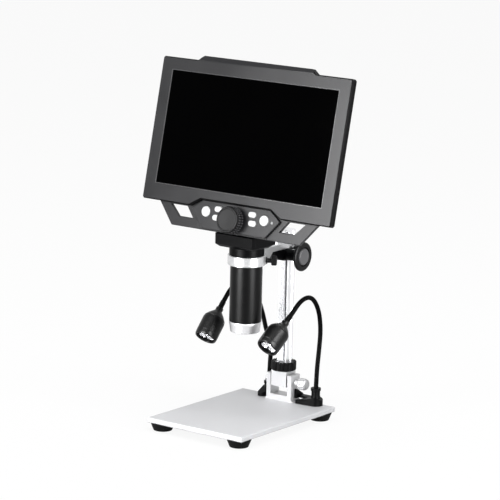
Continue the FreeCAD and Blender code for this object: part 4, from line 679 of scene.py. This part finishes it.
def makeKnobs(look):
    origin, axis = jointLine("pinion_turn")
    back = look["standoff"]
    front = back + look["thick"]
    outer = look["radius"] - look["ribHeight"]
    face = look["faceRadius"]
    profile = [(look["shaftRadius"], 0), (look["hubRadius"], 0), (look["hubRadius"], back),
               *near(outer, back, look["backEdge"]), *near(outer, front, look["frontEdge"]),
               *near(face, front, look["groove"])]
    shape = smoothed(profile, *look["smooth"])
    disc = [*near(face, front, look["discEdge"]), (0, front - look["discDip"])]
    discShape = smoothed(disc, *look["discSmooth"])

    def ribs(turn, radius, height):
        along = between(height, back, look["ribStart"], front, look["ribEnd"])
        along = along * (radius > outer - look["ribBand"])
        return look["ribHeight"] * along * teeth(turn, look["ribs"], *look["ribShape"]), 0

    for name, way in zip(sides, (-1, 1)):
        start = origin + axis * way * look["start"]
        rim = turnedObject(name + "KnobRim", shape, start, axis * way,
                           look["ribs"] * look["stepsPerRib"], ribs, sharp=look["sharp"])
        fit(rim, "knobBlack", f"focus_knob_{name}")
        cap = turnedObject(name + "KnobFace", discShape, start, axis * way, sharp=look["sharp"])
        fit(cap, "knobGrey", body="pinion")


makeKnobs(knobLook)
print("knobs made")


# Lens tube and its silver tip

tubeLook = {"radius": 15.7, "bottom": 103.4, "top": 175.7, "bore": 13.5, "edge": 0.5, "steps": 128,
            "smooth": (0.2, 4.0), "tipBottom": 93.0, "tipTop": 103.4, "tipEnd": 14.4, "tipBore": 12.0,
            "tipStep": 3.0, "boreEdge": [(0, 0.3), (0.3, 0)], "endEdge": [(-0.5, 0), (0, 0.5), (0.35, 3.2)],
            "topEdge": [(-0.1, -2.2), (0, -1.6), (0, 0)], "tipSmooth": (0.3, 1.0)}


def makeTube(look):
    foot = belowJoint("head_swivel")
    r, bore, edge, low = look["radius"], look["bore"], look["edge"], look["bottom"]
    profile = [(bore, low), *near(r, low, [(-edge, 0), (0, edge)]), (r, look["top"]), (bore, look["top"])]
    shape = smoothed(profile, *look["smooth"])
    tube = turnedObject("lensTube", shape, foot, (0, 0, 1), look["steps"], ring=True)
    fit(tube, "tubeBlack", "lens_tube")
    bottom, top = look["tipBottom"], look["tipTop"]
    step = bottom + look["tipStep"]
    profile = [(look["tipBore"], step), *near(look["tipBore"], bottom, look["boreEdge"]),
               *near(look["tipEnd"], bottom, look["endEdge"]), *near(r, top, look["topEdge"]),
               (bore, top), (bore, step)]
    shape = smoothed(profile, *look["tipSmooth"])
    tip = turnedObject("lensTip", shape, foot, (0, 0, 1), look["steps"], ring=True)
    fit(tip, "tipSilver", "lens_tip")


makeTube(tubeLook)
print("tube made")


# Ring nut: fluted sides and a crown of notches along its top edge

nutLook = {"inner": 10.04, "outer": 12.58, "bottom": 43.1, "top": 52.1, "lipInner": 9.1, "lipThick": 1.0,
           "lowEdge": [(-0.7, 0), (0, 0.7)], "highEdge": [(0, -0.6), (-0.5, 0)],
           "lipEdge": [(0.6, 0), (0, -0.5), (0, -1.0)], "flutes": 18, "fluteDepth": 1.1,
           "fluteShape": (0.62, 0.3), "fluteBand": (1.2, 0.2), "notchDepth": 2.3, "notchHeight": (1.6, 0.1),
           "notchInner": (0.8, 1.4), "smooth": (0.3, 0.4), "stepsPerFlute": 12, "sharp": 50}


def makeRingNut(look):
    low, high, outer, inner, lip = (look[key] for key in ("bottom", "top", "outer", "inner", "lipInner"))
    profile = [(inner, low), *near(outer, low, look["lowEdge"]), *near(outer, high, look["highEdge"]),
               *near(lip, high, look["lipEdge"]), (inner, high - look["lipThick"]), (inner, low)]
    shape = smoothed(profile, *look["smooth"])

    # Flutes lower the radius and notches lower the top edge, both where the turn is between two lobes
    def crown(turn, radius, height):
        gaps = 1 - teeth(turn, look["flutes"], *look["fluteShape"])
        outside = ramp(radius, *[outer - step for step in look["fluteBand"]])
        topEdge = ramp(height, *[high - step for step in look["notchHeight"]])
        topEdge = topEdge * ramp(radius, *[lip + step for step in look["notchInner"]])
        return -look["fluteDepth"] * gaps * outside, -look["notchDepth"] * gaps * topEdge

    piece = turnedObject("ringNut", shape, belowJoint("clamp_nut_turn"), (0, 0, 1),
                         look["flutes"] * look["stepsPerFlute"], crown, ring=True, sharp=look["sharp"])
    fit(piece, "nutBlack", "ring_nut")


makeRingNut(nutLook)
print("ring nut made")


# Tilt screw: a bright rounded head with soft flutes, and the plain shank through the bracket

thumbLook = {"radius": 5.8, "length": 9.0, "neckStart": 15.08, "headStart": 20.08, "shank": 2.5, "neck": 3.5,
             "shankStart": -19.93, "backShares": [(0.85, 0), (1, 1.4)],
             "frontShares": [(1, -2.2), (0.86, -0.6), (0.6, 0)], "flutes": 12, "fluteDepth": 0.5,
             "fluteShape": (0.6, 0.4), "fluteStart": (0.4, 2.0), "fluteEnd": (2.6, 0.8),
             "smooth": (0.8, 0.5, 6), "stepsPerFlute": 12, "sharp": 45}


def makeThumbscrew(look):
    origin, axis = jointLine("tilt_screw_turn")
    start, end = look["headStart"], look["headStart"] + look["length"]
    shank, neck = look["shank"], look["neck"]
    profile = [(0, look["shankStart"]), (shank, look["shankStart"]), (shank, look["neckStart"]),
               (neck, look["neckStart"]), (neck, start), *scaled(look["radius"], start, look["backShares"]),
               *scaled(look["radius"], end, look["frontShares"]), (0, end)]
    shape = smoothed(profile, *look["smooth"])

    def flutes(turn, radius, height):
        onHead = between(height, start, look["fluteStart"], end, look["fluteEnd"])
        return -look["fluteDepth"] * onHead * (1 - teeth(turn, look["flutes"], *look["fluteShape"])), 0

    piece = turnedObject("tiltThumbscrew", shape, origin, axis,
                         look["flutes"] * look["stepsPerFlute"], flutes, sharp=look["sharp"])
    fit(piece, "bracketSilver", "tilt_thumbscrew")


makeThumbscrew(thumbLook)
print("thumbscrew made")


# Ring clamp screw: a thin flange, a narrow neck and a thick knurled head

clampLook = {"start": 16.18, "wall": 2.4, "shank": 2.0, "flangeGap": 0.3, "flangeEnd": 1.3,
             "flangeShare": 0.72, "neck": 4.0, "neckShare": 1.15, "headLength": 5.3, "headRadius": 4.9,
             "backEdge": [(-0.4, 0), (0, 0.4)], "frontEdge": [(0, -0.6), (-0.6, 0)], "ribs": 28,
             "ribHeight": 0.3, "ribShape": (0.5, 0.3), "ribStart": (0.3, 0.9), "ribEnd": (1.0, 0.5),
             "smooth": (0.25, 0.3), "stepsPerRib": 6, "sharp": 45}


def makeClampScrew(look):
    origin, axis = jointLine("ring_clamp_turn")
    outer = look["headRadius"] - look["ribHeight"]
    flange = look["headRadius"] * look["flangeShare"]
    flangeStart = look["wall"] + look["flangeGap"]
    flangeEnd = look["wall"] + look["flangeEnd"]
    head = flangeEnd + look["neck"]
    end = head + look["headLength"]
    neckRadius = look["shank"] * look["neckShare"]
    profile = [(0, 0), (look["shank"], 0), (look["shank"], flangeStart), (flange, flangeStart),
               (flange, flangeEnd), (neckRadius, flangeEnd), (neckRadius, head),
               *near(outer, head, look["backEdge"]), *near(outer, end, look["frontEdge"]), (0, end)]
    shape = smoothed(profile, *look["smooth"])

    def ribs(turn, radius, height):
        onHead = between(height, head, look["ribStart"], end, look["ribEnd"])
        return look["ribHeight"] * onHead * teeth(turn, look["ribs"], *look["ribShape"]), 0

    piece = turnedObject("ringClampScrew", shape, origin + axis * look["start"], axis,
                         look["ribs"] * look["stepsPerRib"], ribs, sharp=look["sharp"])
    fit(piece, "knobBlack", "ring_clamp_screw")


makeClampScrew(clampLook)
print("clamp screw made")


# Lamps: goosenecks, heads and their lit faces

gooseneckLook = {"radius": 2.3, "ribPitch": 1.5, "ribHeight": 0.12, "rowsPerRib": 6, "sides": 20,
                 "sleeveRibs": 5, "sleevePitch": 1.9, "sleeveHeight": 0.55, "sleeveSlope": 0.5,
                 "sleeveValley": 0.35, "curveSteps": 24, "curveOrder": 3, "sharp": 60}

# How far back the column stands, and how far the lamps reach forward from it
columnY, reach = 67.15, 51.2

# Each lamp's socket (X and distance behind the column's middle), the height where its route starts,
# its arch's height, and its control points as shares of the reach across and along and of that height
lampSides = {
    "right": {"socketX": 38.0, "socketBack": 2.5, "start": 22.0, "arch": 123.9, "shares": [
        (0.0, 0.059, 0.371), (-0.014, 0.137, 0.533), (-0.020, 0.191, 0.710), (-0.020, 0.098, 0.884),
        (-0.016, -0.156, 1.0), (-0.012, -0.498, 0.994), (-0.008, -0.807, 0.898), (-0.021, -1.0, 0.837)]},
    "left": {"socketX": -22.5, "socketBack": 7.0, "start": 18.5, "arch": 128.2, "shares": [
        (0.0, 0.148, 0.328), (-0.008, 0.199, 0.468), (-0.174, 0.238, 0.597), (-0.275, 0.238, 0.741),
        (-0.369, 0.117, 0.905), (-0.400, -0.207, 1.0), (-0.400, -0.578, 0.984), (-0.393, -0.828, 0.899),
        (-0.393, -1.0, 0.822)]},
}


def routePoints(side):
    shares = np.array(side["shares"]) * (reach, reach, side["arch"])
    first = [(side["socketX"], columnY + side["socketBack"], side["start"])]
    return np.concatenate([first, shares + (side["socketX"], columnY, 0)])


# A route's points are the control points of a smooth spline, and the line is read back from it
def routeLine(route, look):
    data = bpy.data.curves.new("routeLine", "CURVE")
    data.dimensions = "3D"
    data.resolution_u = look["curveSteps"]
    spline = data.splines.new("NURBS")
    spline.points.add(len(route) - 1)
    spline.points.foreach_set("co", np.column_stack([route, np.ones(len(route))]).ravel())
    spline.order_u = look["curveOrder"]
    spline.use_endpoint_u = True
    holder = bpy.data.objects.new("routeLine", data)
    mesh = bpy.data.meshes.new_from_object(holder)
    line = readRows(mesh.vertices, "co")
    bpy.data.meshes.remove(mesh)
    bpy.data.objects.remove(holder)
    bpy.data.curves.remove(data)
    return line


# A tube along a route: point = centre + radius(length) * (cos(turn) * side + sin(turn) * up),
# where side is world X made square to the route's direction, and radius has ribs of one pitch
def makeGooseneck(name, route, look):
    curve = routeLine(route, look)
    length = lengthAlong(curve)[-1]
    rows = int(length / look["ribPitch"] * look["rowsPerRib"])
    along = np.linspace(0, length, rows)
    centre = pointsAt(along, curve)
    heading = np.gradient(centre, axis=0)
    heading = heading / np.linalg.norm(heading, axis=1, keepdims=True)
    side = np.array([1.0, 0, 0]) - heading * heading[:, :1]
    side = side / np.linalg.norm(side, axis=1, keepdims=True)
    up = np.cross(heading, side)
    toEnd = length - along
    sleeveEnd = look["sleeveRibs"] * look["sleevePitch"]
    sleeve = 1 - ramp(toEnd, sleeveEnd, sleeveEnd + look["sleeveSlope"])
    valley = look["sleeveValley"]
    sleeveRibs = valley + (1 - valley) * waves(toEnd, look["sleevePitch"])
    radius = look["radius"] - look["ribHeight"] * waves(along, look["ribPitch"]) ** 3
    radius = radius + sleeve * look["sleeveHeight"] * sleeveRibs
    turn = wholeTurn(look["sides"])[..., None]
    around = np.cos(turn) * side[:, None] + np.sin(turn) * up[:, None]
    points = centre[:, None] + radius[:, None, None] * around
    points = np.concatenate([points[:1] * 0 + centre[0], points, points[:1] * 0 + centre[-1]])
    fit(gridObject(name + "Gooseneck", points, sharp=look["sharp"]), "gooseneckBlack", f"gooseneck_{name}")


headLook = {"sleeve": 3.7, "sleeveInner": 2.35, "sleeveRadius": 3.65, "sleeveOverlap": 2.0, "cone": 9.0,
            "coneBend": (0.72, 0.55), "body": 22.0, "radius": 11.25, "faceRadius": 10.5, "wall": 1.4,
            "shoulderShares": [(0.95, -0.3), (0.95, 0), (0.925, 0.15), (0.925, 0.55), (0.96, 0.7), (1, 2.0)],
            "groove": [(0, -5.2), (-0.3, -5.0), (-0.3, -4.6), (0, -4.4)], "rimEdge": [(0.5, -1.2), (0, 0)],
            "innerEdge": [(0.5, 0), (0, -0.5)], "innerDepth": 1.0, "recess": 3.0,
            "ringPitch": 1.1, "ringHeight": 0.05, "ringStart": (1.5, 2.5), "ringEnd": (6.2, 5.6),
            "smooth": (0.3, 0.28), "sharp": 40}
cupLook = {"cups": 3, "orbit": 4.5, "radius": 3.9, "depth": 2.6, "above": 0.06, "bowlShare": 0.94,
           "rimShares": [(0.94, -0.3), (0.95, 0.25), (1, 0.3), (1.03, -0.05)], "rimSoften": 0.15,
           "rows": 14, "steps": 48, "faceRows": 60, "faceSteps": 120, "faceSharp": 25}
chipLook = {"radius": 1.3, "edge": [(0, -0.05), (0, 0.5)], "shoulder": (0.6, 1.0), "top": 1.1, "soften": 0.4,
            "steps": 24}


def makeLampShell(name, start, facing, look):
    shoulder = look["sleeve"] + look["cone"]
    length = shoulder + look["body"]
    inner = look["faceRadius"] - look["wall"]
    bendRadius, bendHeight = look["coneBend"]
    profile = [(look["sleeveInner"], 0), (look["sleeveRadius"], 0), (look["sleeveRadius"], look["sleeve"]),
               (look["radius"] * bendRadius, look["sleeve"] + look["cone"] * bendHeight),
               *scaled(look["radius"], shoulder, look["shoulderShares"]),
               *near(look["radius"], length, look["groove"]),
               *near(look["faceRadius"], length, look["rimEdge"]),
               *near(inner, length, look["innerEdge"]), (inner, length - look["recess"] - look["innerDepth"])]
    shape = smoothed(profile, *look["smooth"])

    # Fine turned rings run round the body between the shoulder and the front groove
    def rings(turn, radius, height):
        onBody = between(height, shoulder, look["ringStart"], length, look["ringEnd"])
        return -look["ringHeight"] * onBody * waves(height, look["ringPitch"]), 0

    shell = turnedObject(name + "LampShell", shape, start, facing, relief=rings, sharp=look["sharp"])
    fit(shell, "lampBlack", f"lamp_housing_{name}")
    return inner, length - look["recess"]


# Face: height = level - depth * max over the cups of (1 - (distance / cup radius)^2), on a polar grid
def makeLampFace(name, start, facing, inner, level, cupTurn, look):
    side, up = sideways(facing)
    radius = np.linspace(0, inner, look["faceRows"])[:, None]
    turn = wholeTurn(look["faceSteps"])
    across = radius * np.cos(turn)
    rise = radius * np.sin(turn)
    away = np.hypot(across[..., None] - look["orbit"] * np.cos(cupTurn),
                    rise[..., None] - look["orbit"] * np.sin(cupTurn))
    bowl = np.clip(1 - (away / look["radius"]) ** 2, 0, 1).max(axis=-1)
    height = level - look["depth"] * bowl
    points = start + height[..., None] * facing + across[..., None] * side + rise[..., None] * up
    plate = gridObject(name + "LampFace", points, sharp=look["faceSharp"])
    fit(plate, "lampBlack", f"lamp_lens_{name}", f"lamp_led_board_{name}")


# Each cup lies just over its bowl: height = base + depth * (radius / cup radius)^2, with a rolled rim
def makeLampCups(name, start, facing, level, cupTurn, look, chip):
    side, up = sideways(facing)
    base = level - look["depth"] + look["above"]
    radius = np.linspace(0, look["radius"] * look["bowlShare"], look["rows"])
    bowl = np.column_stack([radius, base + look["depth"] * (radius / look["radius"]) ** 2])
    rim = softened(scaled(look["radius"], base + look["depth"], look["rimShares"]), look["rimSoften"])
    cupShape = np.concatenate([bowl, rim])
    shoulderShare, shoulderHeight = chip["shoulder"]
    dome = softened([*near(chip["radius"], base, chip["edge"]),
                     (chip["radius"] * shoulderShare, base + shoulderHeight), (0, base + chip["top"])],
                    chip["soften"])
    for number, angle in enumerate(cupTurn):
        spot = start + look["orbit"] * (math.cos(angle) * side + math.sin(angle) * up)
        cup = turnedObject(f"{name}LampCup{number + 1}", cupShape, spot, facing, look["steps"])
        fit(cup, "reflector", body="stand")
        light = turnedObject(f"{name}LampChip{number + 1}", dome, spot, facing, chip["steps"])
        fit(light, "chipGlow", body="stand")


def makeLampHead(name, route):
    facing = route[-1] - route[-2]
    facing = facing / np.linalg.norm(facing)
    start = route[-1] - facing * headLook["sleeveOverlap"]
    cupTurn = np.arange(cupLook["cups"]) * 2 * math.pi / cupLook["cups"] + math.pi / 2
    inner, level = makeLampShell(name, start, facing, headLook)
    makeLampFace(name, start, facing, inner, level, cupTurn, cupLook)
    makeLampCups(name, start, facing, level, cupTurn, cupLook, chipLook)


for sideName, side in lampSides.items():
    route = routePoints(side)
    makeGooseneck(sideName, route, gooseneckLook)
    makeLampHead(sideName, route)
print("lamps made")


# Floor, world and lamps of the studio

studio = {"floorSize": 12.0, "floorColour": (0.93, 0.93, 0.93, 1), "floorGrain": 3.0, "grainShade": 0.99,
          "floorRoughness": 0.9, "floorGlow": 0.9, "skyForLight": 0.5, "aim": (0.0, 0.0, 0.18)}
white = (1, 1, 1, 1)


# The floor is mostly its own white glow where it is seen, so only a faint shadow falls on it
def paleFloor(look):
    finish = Finish("paleFloor")
    grain = finish.noise(look["floorGrain"])
    colour = finish.mixed(grain, shade(look["floorColour"], look["grainShade"]), look["floorColour"])
    finish.surface({"Base Color": colour, "Roughness": look["floorRoughness"], "Specular IOR Level": 0.0})
    seen = finish.seenByCamera() * look["floorGlow"]
    share = finish.node("Math", {"operation": "MINIMUM"}, {0: seen, 1: look["floorGlow"]})
    glow = finish.node("Emission", {}, {"Color": white, "Strength": 1.0})
    both = finish.node("MixShader", {}, {0: share, 1: Wire(finish, finish.shader.outputs[0]), 2: glow})
    finish.feed(finish.end, {"Surface": both})
    return finish.material


def makeFloor(look):
    half = look["floorSize"] / 2
    corners = np.array([(-half, -half, 0), (half, -half, 0), (half, half, 0), (-half, half, 0)])
    mesh = bpy.data.meshes.new("floor")
    mesh.from_pydata(corners.tolist(), [], [(0, 1, 2, 3)])
    mesh.materials.append(paleFloor(look))
    floor = bpy.data.objects.new("floor", mesh)
    bpy.context.scene.collection.objects.link(floor)


# The world is white where it is seen and dimmer where it lights
def makeSky(look):
    finish = Finish("sky", world=True)
    share = finish.node("Math", {"operation": "MINIMUM"}, {0: finish.seenByCamera(), 1: 1.0})
    strength = look["skyForLight"] + share * (1 - look["skyForLight"])
    finish.feed(finish.shader, {"Color": white, "Strength": strength})
    bpy.context.scene.world = finish.material


# Soft boxes: place, size and power, and whether they light matt surfaces too or show in glossy ones only
softBoxes = {
    "leftStrip": {"place": (-0.10, -0.60, 0.30), "size": (0.32, 0.58), "power": 20.0, "diffuse": False},
    "rightStrip": {"place": (0.58, -0.09, 0.30), "size": (0.30, 0.58), "power": 13.0, "diffuse": False},
    "frontBox": {"place": (-0.80, -1.83, 0.75), "size": (0.5, 1.4), "power": 14.0, "diffuse": True},
    "rightBox": {"place": (1.90, 0.22, 0.75), "size": (0.5, 1.4), "power": 10.0, "diffuse": True},
    "topBox": {"place": (0.35, -0.1, 1.9), "size": (1.2, 1.2), "power": 17.0, "diffuse": True},
}


def makeSoftBoxes(boxes, aim):
    for name, look in boxes.items():
        data = bpy.data.lights.new(name, "AREA")
        data.shape = "RECTANGLE"
        data.size, data.size_y = look["size"]
        data.energy = look["power"]
        lamp = bpy.data.objects.new(name, data)
        lamp.location = look["place"]
        lamp.visible_camera = False
        lamp.visible_diffuse = look["diffuse"]
        lamp.rotation_euler = (Vector(aim) - lamp.location).to_track_quat("-Z", "Y").to_euler()
        bpy.context.scene.collection.objects.link(lamp)


makeFloor(studio)
makeSky(studio)
makeSoftBoxes(softBoxes, studio["aim"])
print("studio lit")
